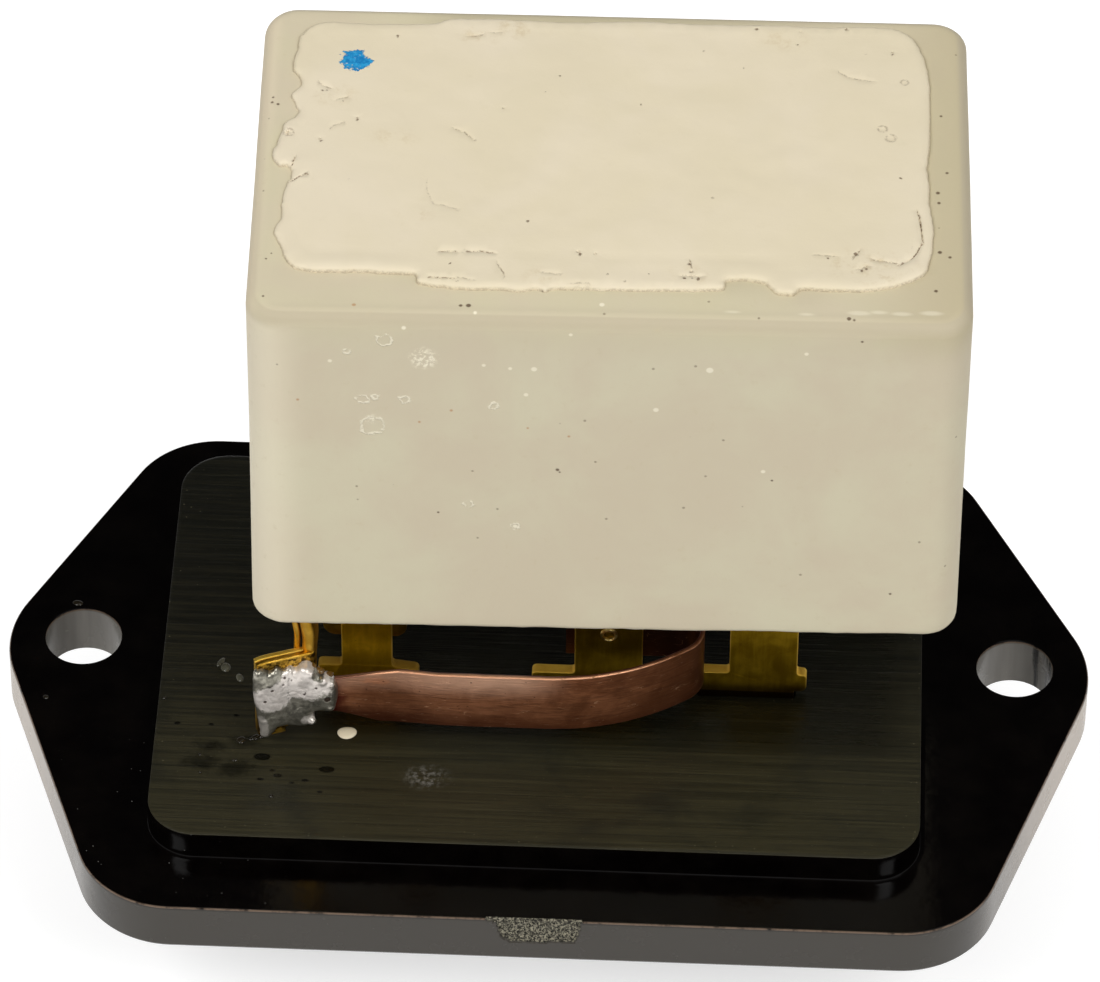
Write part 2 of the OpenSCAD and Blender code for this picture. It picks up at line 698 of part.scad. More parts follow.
// Close turns of wire, drawn as rings on one sleeve
module winding(x0, y, z) {
    room = element_x1 - x0 - 2 * cap_l;
    turns = floor((room - wire_d) / wire_pitch);
    start = (room - turns * wire_pitch) / 2;
    inner = core_r + core_fit;
    color([0.45, 0.44, 0.43]) translate([x0 + cap_l, y, z]) rotate([0, 90, 0]) rotate_extrude()
        polygon(concat([[inner, 0.1], [inner, room - 0.1], [inner + wire_r, room - 0.1]],
            [for (i = [turns - 1 : -1 : 0]) for (k = [[0.5 + wire_r / wire_pitch, wire_r],
                [0.5 + wire_r / wire_pitch / 2, wire_d], [0.5 - wire_r / wire_pitch / 2, wire_d],
                [0.5 - wire_r / wire_pitch, wire_r]])
                [inner + k[1], start + (i + k[0]) * wire_pitch]],
            [[inner + wire_r, 0.1]]));
}

// Block between a cap and the lead face that it is welded to
module cap_pad(x, y, z, face, grow) {
    near = face > y ? y + core_r + core_fit + cap_wall / 2 : face;
    far = face > y ? face : y - core_r - core_fit - cap_wall / 2;
    translate([x - weld_pad / 2 - grow, near, z - weld_pad / 4 - grow])
        cube([weld_pad + 2 * grow, far - near, weld_pad / 2 + 2 * grow]);
}

// Pressed cup on the end of a core, closed at x = shut and open towards the winding
module cap(shut, dir, y, z) {
    translate([shut, y, z]) rotate([0, dir * 90, 0]) difference() {
        cylinder(h = cap_l, r = cap_r);
        translate([0, 0, cap_wall]) cylinder(h = cap_l, r = core_r + core_fit);
    }
}

module front_core() {
    core(front_x0, front_y, front_z);
}

module rear_core() {
    core(rear_x0, rear_y, rear_z);
}

module front_winding() {
    winding(front_x0, front_y, front_z);
}

module rear_winding() {
    winding(rear_x0, rear_y, rear_z);
}

module front_cap_left() {
    color([0.66, 0.67, 0.68]) cap(front_x0, 1, front_y, front_z);
}

module front_cap_right() {
    color([0.66, 0.67, 0.68]) union() {
        cap(element_x1, -1, front_y, front_z);
        cap_pad(element_x1 - cap_l / 2, front_y, front_z, row_back, 0);
    }
}

module rear_cap_left() {
    color([0.66, 0.67, 0.68]) union() {
        cap(rear_x0, 1, rear_y, rear_z);
        cap_pad(rear_x0 + cap_l / 2, rear_y, rear_z, lead_back, 0);
    }
}

module rear_cap_right() {
    color([0.66, 0.67, 0.68]) union() {
        cap(element_x1, -1, rear_y, rear_z);
        cap_pad(element_x1 - cap_l / 2, rear_y, rear_z, lead_back, 0);
    }
}

base_plate();
left_terminal();
middle_terminal();
right_terminal();
fuse_strip();
fuse_rivet();
fuse_lead();
fuse_solder();
ceramic_case();
cement_fill();
left_lead();
right_lead();
front_core();
front_winding();
front_cap_left();
front_cap_right();
rear_core();
rear_winding();
rear_cap_left();
rear_cap_right();
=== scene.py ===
"""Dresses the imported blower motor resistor: moulded plate, potted ceramic block and soldered fuse."""

import math

import bmesh
import bpy
import numpy as np
from mathutils import Euler, Matrix, Vector, noise
from mathutils.geometry import delaunay_2d_cdt


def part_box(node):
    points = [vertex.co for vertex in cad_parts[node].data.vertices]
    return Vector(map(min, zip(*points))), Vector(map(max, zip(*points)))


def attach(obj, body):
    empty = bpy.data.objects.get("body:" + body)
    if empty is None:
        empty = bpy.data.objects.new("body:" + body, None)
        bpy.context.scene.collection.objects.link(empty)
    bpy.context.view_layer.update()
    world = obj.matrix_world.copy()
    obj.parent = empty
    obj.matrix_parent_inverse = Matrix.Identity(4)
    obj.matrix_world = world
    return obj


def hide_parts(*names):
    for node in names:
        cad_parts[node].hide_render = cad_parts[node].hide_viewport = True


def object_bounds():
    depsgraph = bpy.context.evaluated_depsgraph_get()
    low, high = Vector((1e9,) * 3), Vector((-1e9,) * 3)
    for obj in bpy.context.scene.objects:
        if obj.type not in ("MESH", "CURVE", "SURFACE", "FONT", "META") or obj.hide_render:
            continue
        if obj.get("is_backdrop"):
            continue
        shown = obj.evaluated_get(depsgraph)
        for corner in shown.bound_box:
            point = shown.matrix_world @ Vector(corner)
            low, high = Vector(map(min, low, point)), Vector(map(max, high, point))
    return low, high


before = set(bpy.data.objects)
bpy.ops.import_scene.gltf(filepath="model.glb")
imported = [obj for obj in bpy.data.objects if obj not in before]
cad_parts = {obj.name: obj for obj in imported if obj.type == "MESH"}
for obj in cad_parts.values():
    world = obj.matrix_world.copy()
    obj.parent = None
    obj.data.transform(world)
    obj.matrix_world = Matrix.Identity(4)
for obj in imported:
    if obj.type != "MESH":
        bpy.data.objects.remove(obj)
cad_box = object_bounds()

MM = 0.001

# Sizes in millimetres, named as in the part's source
HOLE_X, HOLE_R = 31.0, 2.53
PLATE_T, TIP_X, PLATE_FRONT, PLATE_BACK = 3.8, 36.6, 23.9, 19.0
FRONT_INSET, BACK_INSET, TIP_R, FRONT_R, BACK_R = 8.5, 9.85, 8.0, 6.5, 6.0
PAD_L, PAD_FRONT, PAD_BACK, PAD_H, PAD_R, PAD_SHIFT = 50.2, 19.4, 15.5, 2.1, 3.2, -0.3
SHEET_T, ROW_Y, ROW_BACK, LEAD_T = 0.8, -5.3, -4.5, 0.5
BLADE_W, BLADE_LEN, SLOT_GAP, FOOT_H = 6.3, 8.5, 0.05, 1.55
LEFT_X, MIDDLE_X, RIGHT_X = -11.65, 3.05, 13.2
SOCKET_X0, SOCKET_X1, SOCKET_Y, SOCKET_W = -17.0, 18.55, -4.9, 9.4
SHROUD_WALL, SOCKET_R, RIM_Z = 1.7, 1.6, -15.3
LATCH_L, LATCH_OUT, KEY_RIB = 7.0, 1.3, 0.9
STEM_TOP, LEAD_TOP = PAD_H + 9.4, 38.8
# The block's own axes start 14 mm behind its front face, in the middle of its length
BLOCK_X, BLOCK_Y, BLOCK_TURN = 3.75, -1.97, math.radians(1.2)
CASE_L, CASE_FRONT, CASE_BACK, CASE_R = 44.75, 14.0, 14.7, 2.2
CASE_WALL, FRONT_WALL, CAVITY_R, RIM_R, SOLE_R = 3.0, 4.4, 1.6, 1.0, 0.5
CASE_Z, CASE_TOP, FLOOR_Z = 18.7, 45.8, 21.5
STRIP_T, STRIP_Z, STRIP_W = 0.3, 4.65, 4.8
STRIP_BACK_Y, STRIP_FRONT_Y, TONGUE_Y, BEND_R = -4.35, -11.25, -11.05, 2.1
TAIL_X, SWEEP_X, KNEE_X, TONGUE_X, TONGUE_END = 1.3, 0.2, -6.7, -9.3, -16.3
SWEEP_ANGLE = math.radians(37.5)
TAB_L, TAB_Z, TAB_H, TAB_ANGLE = 3.6, 3.15, 7.2, math.radians(20)
RIVET_AT = (4.125, 7.45)
SOFT = 60  # a crease angle from which a piece has no flat faces to keep


# Outlines and meshes

def unit(v):
    return v / np.linalg.norm(v)


def outline(points, radii, step=0.35):
    """A polygon, anticlockwise, with each corner rounded by its radius."""
    pts = [np.array(p, float) for p in points]
    out = []
    for i, p in enumerate(pts):
        r = radii[i] if hasattr(radii, "__len__") else radii
        u, v = unit(pts[i - 1] - p), unit(pts[(i + 1) % len(pts)] - p)
        half = math.acos(float(np.clip(u @ v, -1, 1))) / 2
        if r <= 0 or half > 1.55:
            out.append(p)
            continue
        centre = p + unit(u + v) * r / math.sin(half)
        a = p + u * r / math.tan(half) - centre
        b = p + v * r / math.tan(half) - centre
        start = math.atan2(a[1], a[0])
        turn = (math.atan2(b[1], b[0]) - start + math.pi) % (2 * math.pi) - math.pi
        count = max(3, math.ceil(abs(turn) * r / step))
        for k in range(count + 1):
            angle = start + turn * k / count
            out.append(centre + r * np.array([math.cos(angle), math.sin(angle)]))
    return np.array(out)


def rounded(x0, x1, y0, y1, r, step=0.35):
    """A rectangle with rounded corners."""
    return outline([(x0, y0), (x1, y0), (x1, y1), (x0, y1)], r, step)


def around(count):
    """Evenly spaced angles of a full turn."""
    return np.linspace(0, 2 * math.pi, count + 1)[:-1]


def at_height(loop, z):
    return np.column_stack([loop, np.broadcast_to(z, len(loop)).astype(float)])


def lattice(across, along, shift=0.0):
    """Points on a grid, with every second row moved sideways."""
    x, y = np.meshgrid(np.arange(*across), np.arange(*along))
    return np.stack([x.ravel() + shift * (np.arange(x.size) // x.shape[1] % 2), y.ravel()], 1)


def eased(path, times):
    """The path with its kinks smoothed, ends kept."""
    path = np.array(path)
    for _ in range(times):
        path[1:-1] = (path[:-2] + 2 * path[1:-1] + path[2:]) / 4
    return path


def add_object(name, data):
    obj = bpy.data.objects.new(name, data)
    bpy.context.scene.collection.objects.link(obj)
    return obj


def plain_mesh(obj):
    """The object's mesh with its modifiers applied."""
    depsgraph = bpy.context.evaluated_depsgraph_get()
    return bpy.data.meshes.new_from_object(obj.evaluated_get(depsgraph), depsgraph=depsgraph)


def dense(loop, step):
    """The same loop with long sides split. step is a length, or a function of a side's middle."""
    out = []
    for i, a in enumerate(loop):
        b = loop[(i + 1) % len(loop)]
        size = step((a + b) / 2) if callable(step) else step
        count = max(1, math.ceil(np.linalg.norm(b - a) / size - 1e-6))
        out.extend(a + (b - a) * k / count for k in range(count))
    return np.array(out)


def inset(loop, by):
    """The loop moved inwards by a distance, or outwards where it is negative."""
    before, after = loop - np.roll(loop, 1, 0), np.roll(loop, -1, 0) - loop
    n0 = np.stack([before[:, 1], -before[:, 0]], 1)
    n1 = np.stack([after[:, 1], -after[:, 0]], 1)
    n0 /= np.linalg.norm(n0, axis=1)[:, None]
    n1 /= np.linalg.norm(n1, axis=1)[:, None]
    mid = n0 + n1
    mid /= np.maximum((mid * mid).sum(1), 1.0)[:, None] / 2
    return loop - mid * by


def inside(loop, pts):
    """Which points lie inside a loop."""
    x, y = pts[:, 0][:, None], pts[:, 1][:, None]
    x0, y0 = loop[:, 0], loop[:, 1]
    x1, y1 = np.roll(x0, -1), np.roll(y0, -1)
    cross = (y0 > y) != (y1 > y)
    at = (x1 - x0) * (y - y0) / np.where(y1 == y0, 1e-12, y1 - y0) + x0
    return (cross & (x < at)).sum(1) % 2 == 1


def reach(loop, pts, closed=True):
    """Distance of each point from a polyline."""
    a = loop if closed else loop[:-1]
    b = np.roll(loop, -1, 0) if closed else loop[1:]
    best = np.full(len(pts), 1e9)
    for p, q in zip(a, b):
        d = q - p
        t = np.clip(((pts - p) @ d) / max(d @ d, 1e-12), 0, 1)
        best = np.minimum(best, np.linalg.norm(pts - p - t[:, None] * d, axis=1))
    return best


def turned(pts, back=False):
    """Points on the block's own axes, placed on the part, or the other way."""
    pts = np.asarray(pts, float)
    c, s = math.cos(BLOCK_TURN), math.sin(BLOCK_TURN)
    if back:
        q = pts[..., :2] - [BLOCK_X, BLOCK_Y]
        xy = np.stack([c * q[..., 0] + s * q[..., 1], -s * q[..., 0] + c * q[..., 1]], -1)
    else:
        xy = np.stack([BLOCK_X + c * pts[..., 0] - s * pts[..., 1],
                       BLOCK_Y + s * pts[..., 0] + c * pts[..., 1]], -1)
    return np.concatenate([xy, pts[..., 2:]], -1)


def ripple(p, scale, seed=0.0, octaves=2):
    """Smooth noise from about -1 to 1 at a point in millimetres."""
    v = Vector((p[0] / scale + seed, p[1] / scale - seed, p[2] / scale + 2 * seed))
    return noise.fractal(v, 1.0, 2.0, octaves, noise_basis="PERLIN_ORIGINAL")


class Shell:
    """Vertices and faces of one closed piece, in millimetres."""

    def __init__(self):
        self.verts, self.faces = [], []

    def ring(self, loop, z=None):
        pts = loop if z is None else at_height(loop, z)
        first = len(self.verts)
        self.verts.extend(map(tuple, pts))
        return list(range(first, first + len(pts)))

    def wall(self, rings):
        for a, b in zip(rings, rings[1:]):
            for i in range(len(a)):
                j = (i + 1) % len(a)
                self.faces.append((a[i], a[j], b[j], b[i]))

    def tube(self, rings):
        """A wall that is closed at both ends."""
        self.wall(rings)
        self.faces += [tuple(rings[0]), tuple(rings[-1])]

    def loft(self, loop, profile):
        """A wall through copies of a loop, each (inset, z)."""
        rings = [self.ring(inset(loop, by), z) for by, z in profile]
        self.wall(rings)
        return rings

    def cap(self, outer, holes=(), extra=None, lift=None, axes=(0, 1)):
        """Fills between an outer ring and holes. extra are points inside, lifted into place."""
        loops = [outer, *holes]
        ids = [i for ring in loops for i in ring]
        flat = [Vector((self.verts[i][axes[0]], self.verts[i][axes[1]])) for i in ids]
        starts = np.cumsum([0] + [len(ring) for ring in loops]).tolist()
        edges = [(k, k + 1 if k + 1 < end else first) for first, end in zip(starts, starts[1:])
                 for k in range(first, end)]
        if extra is not None and len(extra):
            ids += range(len(self.verts), len(self.verts) + len(extra))
            self.verts.extend(map(tuple, lift(extra)))
            flat += [Vector(p) for p in extra]
        got = delaunay_2d_cdt(flat, edges, [], 0, 1e-7)
        tris = np.array([t for t in got[2] if len(t) == 3])
        middle = np.array([tuple(v) for v in got[0]])[tris].mean(1)
        outer, *holes = (np.array([tuple(v) for v in flat[a:b]]) for a, b in zip(starts, starts[1:]))
        keep = inside(outer, middle)
        for hole in holes:
            keep &= ~inside(hole, middle)
        for t in tris[keep]:
            face = tuple(ids[got[3][k][0]] for k in t)
            if len(set(face)) == 3:
                self.faces.append(face)

    def piece(self, name, finish, nodes=(), crease=35, marks=None):
        """Makes the Blender object, which rides on the part and stands for its CAD nodes."""
        mesh = bpy.data.meshes.new(name)
        mesh.from_pydata([Vector(v) * MM for v in self.verts], [], self.faces)
        if marks is not None:
            values = mesh.attributes.new("marks", "FLOAT", "POINT")
            values.data.foreach_set("value", np.asarray(marks, "f"))
        return finish_piece(name, mesh, finish, nodes, crease)


def finish_piece(name, mesh, finish, nodes, crease=35):
    """Cleans a closed mesh, gives it its finish and hands it to the frame."""
    bm = bmesh.new()
    bm.from_mesh(mesh)
    bmesh.ops.remove_doubles(bm, verts=bm.verts, dist=2e-7)
    bmesh.ops.dissolve_degenerate(bm, edges=bm.edges, dist=1e-7)
    bmesh.ops.recalc_face_normals(bm, faces=bm.faces)
    open_edges = sum(not e.is_manifold for e in bm.edges)
    if open_edges:
        print("OPEN", name, open_edges)
    bm.to_mesh(mesh)
    bm.free()
    mesh.shade_smooth()
    mesh.set_sharp_from_angle(angle=math.radians(crease))
    mesh.materials.append(finish.material)
    obj = add_object(name, mesh)
    if crease < SOFT:
        obj.modifiers.new("flat_faces_stay_flat", "WEIGHTED_NORMAL").keep_sharp = True
        mesh = plain_mesh(obj)
        mesh.name = name
        obj.modifiers.clear()
        obj.data = mesh
    if nodes:
        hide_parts(*nodes)
    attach(obj, "root")
    return obj


# Shader maths

class Val:
    """A value in a shader. Arithmetic on it adds Math nodes to its material."""

    def __init__(self, finish, socket):
        self.finish, self.socket = finish, socket

    def math(self, operation, *others):
        return self.finish.add("Math", {"operation": operation}, (self, *others))

    def __add__(self, other):
        return self.math("ADD", other)

    def __sub__(self, other):
        return self.math("SUBTRACT", other)

    def __rsub__(self, other):
        return self.finish.add("Math", {"operation": "SUBTRACT"}, (other, self))

    def __mul__(self, other):
        return self.math("MULTIPLY", other)

    def __or__(self, other):
        """The larger of two, which joins two masks."""
        return self.math("MAXIMUM", other)

    def __neg__(self):
        return self.math("MULTIPLY", -1.0)

    def __abs__(self):
        return self.math("ABSOLUTE")

    __radd__, __rmul__ = __add__, __mul__


class Finish:
    """One procedural material, with its Principled shader and the node trees that feed it."""

    def __init__(self, name, **constants):
        self.material = bpy.data.materials.new(name)
        self.material.use_nodes = True
        self.tree = self.material.node_tree
        self.shader = self.tree.nodes["Principled BSDF"]
        self.colour = None
        for key, value in constants.items():
            self.shader.inputs[key.replace("_", " ")].default_value = value

    def add(self, kind, settings=None, sockets=(), out=0):
        node = self.tree.nodes.new("ShaderNode" + kind)
        for key, value in (settings or {}).items():
            setattr(node, key, value)
        for key, value in (sockets.items() if isinstance(sockets, dict) else enumerate(sockets)):
            if isinstance(value, Val):
                self.tree.links.new(value.socket, node.inputs[key])
            else:
                node.inputs[key].default_value = value
        return Val(self, node.outputs[out])

    def set(self, name, value):
        self.tree.links.new(value.socket, self.shader.inputs[name])

    def place(self, x=1, y=1, z=1):
        """Object coordinates in millimetres, with each axis stretched or, by 0, left out."""
        coords = self.add("TexCoord", out="Object")
        return self.add("VectorMath", {"operation": "MULTIPLY"}, (coords, (x / MM, y / MM, z / MM)))

    def marks(self):
        """The number that the mesh carries at each of its points."""
        return self.add("Attribute", {"attribute_name": "marks"}, out="Fac")

    def split(self, where):
        return [self.add("SeparateXYZ", None, (where,), out=k) for k in range(3)]

    def noise(self, where, scale, detail=3.0, rough=0.55, warp=0.0):
        return self.add("TexNoise", None, {"Vector": where, "Scale": scale, "Detail": detail,
                                           "Roughness": rough, "Distortion": warp})

    def cells(self, where, scale):
        return self.add("TexVoronoi", None, {"Vector": where, "Scale": scale})

    def step(self, value, low, high):
        return self.add("MapRange", {"interpolation_type": "SMOOTHSTEP"}, (value, low, high, 0.0, 1.0))

    def patchy(self, where, scale, detail, rough, low, high):
        """A mask of noise that rises from low to high."""
        return self.step(self.noise(where, scale, detail, rough), low, high)

    def mix(self, mask, a, b):
        colours = {6 + k: c if isinstance(c, Val) else (*c, 1.0) for k, c in enumerate((a, b))}
        return self.add("Mix", {"data_type": "RGBA"}, {0: mask, **colours}, out=2)

    def paint(self, mask, red, green, blue):
        """Lays a colour over what is there so far."""
        self.colour = self.mix(mask, self.colour, srgb(red, green, blue))

    def lerp(self, mask, a, b):
        return mask * (b - a) + a

    def away(self, where, centre):
        """Distance from a place, in millimetres."""
        return self.add("VectorMath", {"operation": "DISTANCE"}, (where, centre), out=1)

    def nearest(self, where, marks):
        """Distance from the edge of the nearest of several round marks, (x, y, z, radius)."""
        best = None
        for x, y, z, r in marks:
            d = self.away(where, (x, y, z)) - r
            best = d if best is None else best.math("MINIMUM", d)
        return best

    def bump(self, height, depth, under=None):
        sockets = {"Height": height, "Distance": depth * MM, "Strength": 1.0}
        if under is not None:
            sockets["Normal"] = under
        return self.add("Bump", None, sockets)


def srgb(r, g, b):
    """A colour as it is seen, 0 to 255, as shader values."""
    return tuple(((c / 255 + 0.055) / 1.055) ** 2.4 if c > 10 else c / 255 / 12.92 for c in (r, g, b))


# Finishes

# Dark wet spots and stains on the pad: x, y and size
WET_SPOTS = [(-18.19, -12.32, 0.3), (-13.92, -13.25, 0.28), (-17.45, -13.5, 0.1), (-17.08, -13.94, 0.16),
             (-15.27, -14.28, 0.12), (-16.11, -14.53, 0.08), (-18.18, -14.31, 0.12), (-14.25, -15.25, 0.1),
             (-23.95, -9.58, 0.12), (-21.73, -9.58, 0.1), (-20.12, -8.7, 0.1), (-18.9, -10.7, 0.2)]
BLOTS = [(-19.92, -13.5, 0.5), (-22.14, -13.0, 0.45), (-21.6, -11.5, 0.3), (-19.6, -11.0, 0.3)]
SMUDGE = (-7.4, -13.6)


def make_phenolic():
    """Glossy moulding with a brushed, dusty pad, wet spots and a torn gate mark, with painted shade under the
    block and painted light on the pad's front, the flange's top edge, sides and bores.
    """
    f = Finish("glossy_phenolic", Specular_IOR_Level=0.3)
    p = f.place()
    x, y, z = f.split(p)
    far = abs(x)
    pad = f.step(z, PAD_H - 0.1, PAD_H - 0.03)
    side = f.step(z, -0.02, -0.3)

    streak = f.noise(f.place(0.045, 2.6), 1.0, 4, 0.7)
    fine = f.noise(f.place(0.12, 9), 1.0, 2, 0.6)
    grime = f.noise(p, 0.16, 3, 0.6, 0.4)
    # The pad's brushed wear, with painted light that makes the pad lighter towards its front.
    front = f.step(y, 6.0, -19.0)
    wear_and_front_light = f.step(streak * 0.5 + fine * 0.35 + f.noise(p, 2.6, 4, 0.8) * 0.12 + front * 0.16, 0.4, 0.8)
    f.colour = f.mix(wear_and_front_light, srgb(17, 17, 10), srgb(48, 44, 24))
    # Painted shade: the pad is darkened under the block, where the block's shadow falls.
    under = f.step(y, -12.0, -8.5) * f.step(abs(x - BLOCK_X), 22.0, 17.0)
    f.paint(under * 0.75, 7, 7, 4)
    f.paint(f.step(grime, 0.5, 0.75) * 0.6, 17, 18, 10)
    wide = 0.55
    ovals = f.place(wide)
    wet = f.step(f.nearest(ovals, [(a * wide, b, PAD_H, r) for a, b, r in WET_SPOTS]), 0.06, -0.04)
    blots = f.nearest(ovals, [(a * wide, b, PAD_H, r) for a, b, r in BLOTS])
    wet = wet | f.step(blots + f.noise(p, 1.6, 4, 0.7) * 1.4 - 0.7, 0.5, -0.3) * 0.75
    f.paint(wet * 0.9, 6, 6, 4)
    lint = f.step(f.cells(f.place(1.6, 2.2, 2.2), 1.0), 0.085, 0.05)
    near_edge = f.step(abs(y + 2.0), 15.6, 17.3) | f.step(far, 23.0, 24.9)
    f.paint(lint * (near_edge * 0.75 + 0.22) * 0.6, 132, 124, 98)
    smudge = f.step(f.away(f.place(0.7), (SMUDGE[0] * 0.7, SMUDGE[1], PAD_H)), 1.4, 0.2)
    f.paint(smudge * f.patchy(p, 3.0, 4, 0.7, 0.42, 0.7) * 0.6, 128, 126, 120)
    pad_colour = f.colour

    f.colour = f.mix(f.patchy(p, 0.35, 3, 0.6, 0.3, 0.8), srgb(2, 1, 1), srgb(7, 5, 4))
    # Painted light: the flange's sides are grey, and paler towards the tips, for the light they catch.
    f.colour = f.mix(side, f.colour, f.mix(f.step(far, 27.8, 35.0), srgb(60, 56, 50), srgb(172, 157, 140)))
    from_hole = far - HOLE_X
    in_hole = f.step(from_hole * from_hole + y * y, 7.3, 6.9) * side
    drawn = f.noise(f.place(1.3, 1.3, 0.1), 1.0, 3, 0.5)
    scored = f.step(drawn, 0.5, 0.6) * f.step(x, 31.2, 32.6)
    # Painted reflection: the bore walls are grey for the reflection they show, with dark scored lines.
    wall = f.mix(drawn, srgb(90, 87, 81), srgb(132, 128, 121))
    f.colour = f.mix(in_hole, f.colour, f.mix(scored, wall, srgb(24, 22, 20)))
    # Painted highlight: a patchy pale line along the flange's rounded top edge.
    lip = f.step(z, -0.15, -0.09) * f.step(z, -0.004, -0.03) * f.patchy(p, 0.9, 4, 0.7, 0.3, 0.55)
    f.paint(lip * 0.55, 140, 118, 100)
    dust = f.step(f.cells(p, 1.25), 0.06, 0.03) * f.step(f.away(p, (-25.0, -19.0, 0)), 13.0, 3.0)
    f.paint(dust * (1 - side) * 0.7, 120, 120, 116)
    gate = f.step(f.marks(), 0.25, 0.75)
    broken = f.noise(p, 7.0, 3, 0.8)
    f.colour = f.mix(gate, f.colour, f.mix(f.step(broken, 0.45, 0.6), srgb(26, 24, 18), srgb(176, 170, 148)))

    f.set("Base Color", f.mix(pad, f.colour, pad_colour))
    gloss = f.noise(p, 0.5, 3, 0.6) * 0.09 + 0.1 + side * 0.12 + gate * 0.45
    f.set("Roughness", f.lerp(pad, gloss, wear_and_front_light * 0.2 + 0.38 - wet * 0.25 - under * 0.2))
    peel = f.bump(f.noise(p, 0.7, 2, 0.5), 0.02)
    brushed = f.bump((streak + fine * 0.7) * pad, 0.03, peel)
    f.set("Normal", f.bump(broken * gate, 0.25, brushed))
    return f


def on_front(marks):
    """Marks (x, z, radius) on the block's front face, as places on the part."""
    return [(*turned((x, -CASE_FRONT, z)), r) for x, z, r in marks]


def on_top(marks):
    """Marks (x, y, radius) on the block's rim, as places on the part."""
    return [(*turned((x, y, CASE_TOP)), r) for x, y, r in marks]


# Marks on the ceramic, (x, z, radius) in front and (x, y, radius) on the rim
FROTH = on_front([(-11.33, 42.44, 0.85), (-14.5, 37.2, 0.4)])
RINGS = on_front([(-14.5, 36.64, 0.72), (-13.68, 44.01, 0.45), (-15.99, 42.92, 0.26), (-15.1, 38.9, 0.34),
                  (-14.3, 39.1, 0.22), (-12.46, 38.88, 0.3), (-8.52, 29.92, 0.28), (-6.98, 38.52, 0.26),
                  (-5.65, 28.08, 0.28)])
PALE_DOTS = on_front([(-12.49, 45.0, 0.12), (-17.03, 42.11, 0.11), (-7.62, 41.98, 0.1), (-6.0, 41.75, 0.1),
                      (-4.54, 41.73, 0.16), (-5.02, 39.55, 0.12), (-2.32, 44.7, 0.1), (-5.65, 28.08, 0.12),
                      (6.2, 41.94, 0.2), (2.97, 38.47, 0.15), (12.07, 43.48, 0.11), (9.69, 33.31, 0.12)])
PALE_DOTS += on_top([(-0.46, -12.4, 0.14), (-8.16, -13.3, 0.1)])
PALE_STREAKS = on_top([(15.2, -12.7, 0.13), (16.4, -12.6, 0.08), (17.8, -12.7, 0.1), (19.6, -12.6, 0.12),
                       (12.0, -12.9, 0.05), (7.5, -12.8, 0.05)])
DARK_DOTS = on_front([(-3.04, 33.1, 0.1), (-2.9, 32.9, 0.05), (-10.44, 29.16, 0.06), (15.42, 44.6, 0.07),
                      (17.97, 22.68, 0.07), (10.26, 32.54, 0.06)])
DARK_DOTS += on_top([(-9.06, -12.71, 0.1), (-8.58, -12.7, 0.14), (-21.12, -12.23, 0.06), (14.58, -13.2, 0.12),
                     (14.9, -13.3, 0.08), (9.1, -13.3, 0.07), (-21.4, 5.39, 0.08), (-21.02, 5.22, 0.08),
                     (-21.66, 0.2, 0.07), (-21.36, 5.85, 0.06), (-21.9, 5.3, 0.05), (-21.55, 3.9, 0.05),
                     (-21.58, -2.73, 0.07), (-21.1, -8.9, 0.05), (-20.8, -8.4, 0.04), (20.75, 0.04, 0.08),
                     (20.46, 5.3, 0.07), (20.16, -1.8, 0.11), (20.21, -2.71, 0.09), (20.2, -7.13, 0.12),
                     (20.81, -7.57, 0.09), (19.91, -10.62, 0.1)])
BROWN_DOTS = on_front([(-11.58, 37.03, 0.06), (-4.9, 36.69, 0.05), (-2.36, 36.03, 0.06),
                       (-19.05, 38.74, 0.07), (-9.61, 38.08, 0.07)]) + on_top([(-15.56, -12.83, 0.1)])


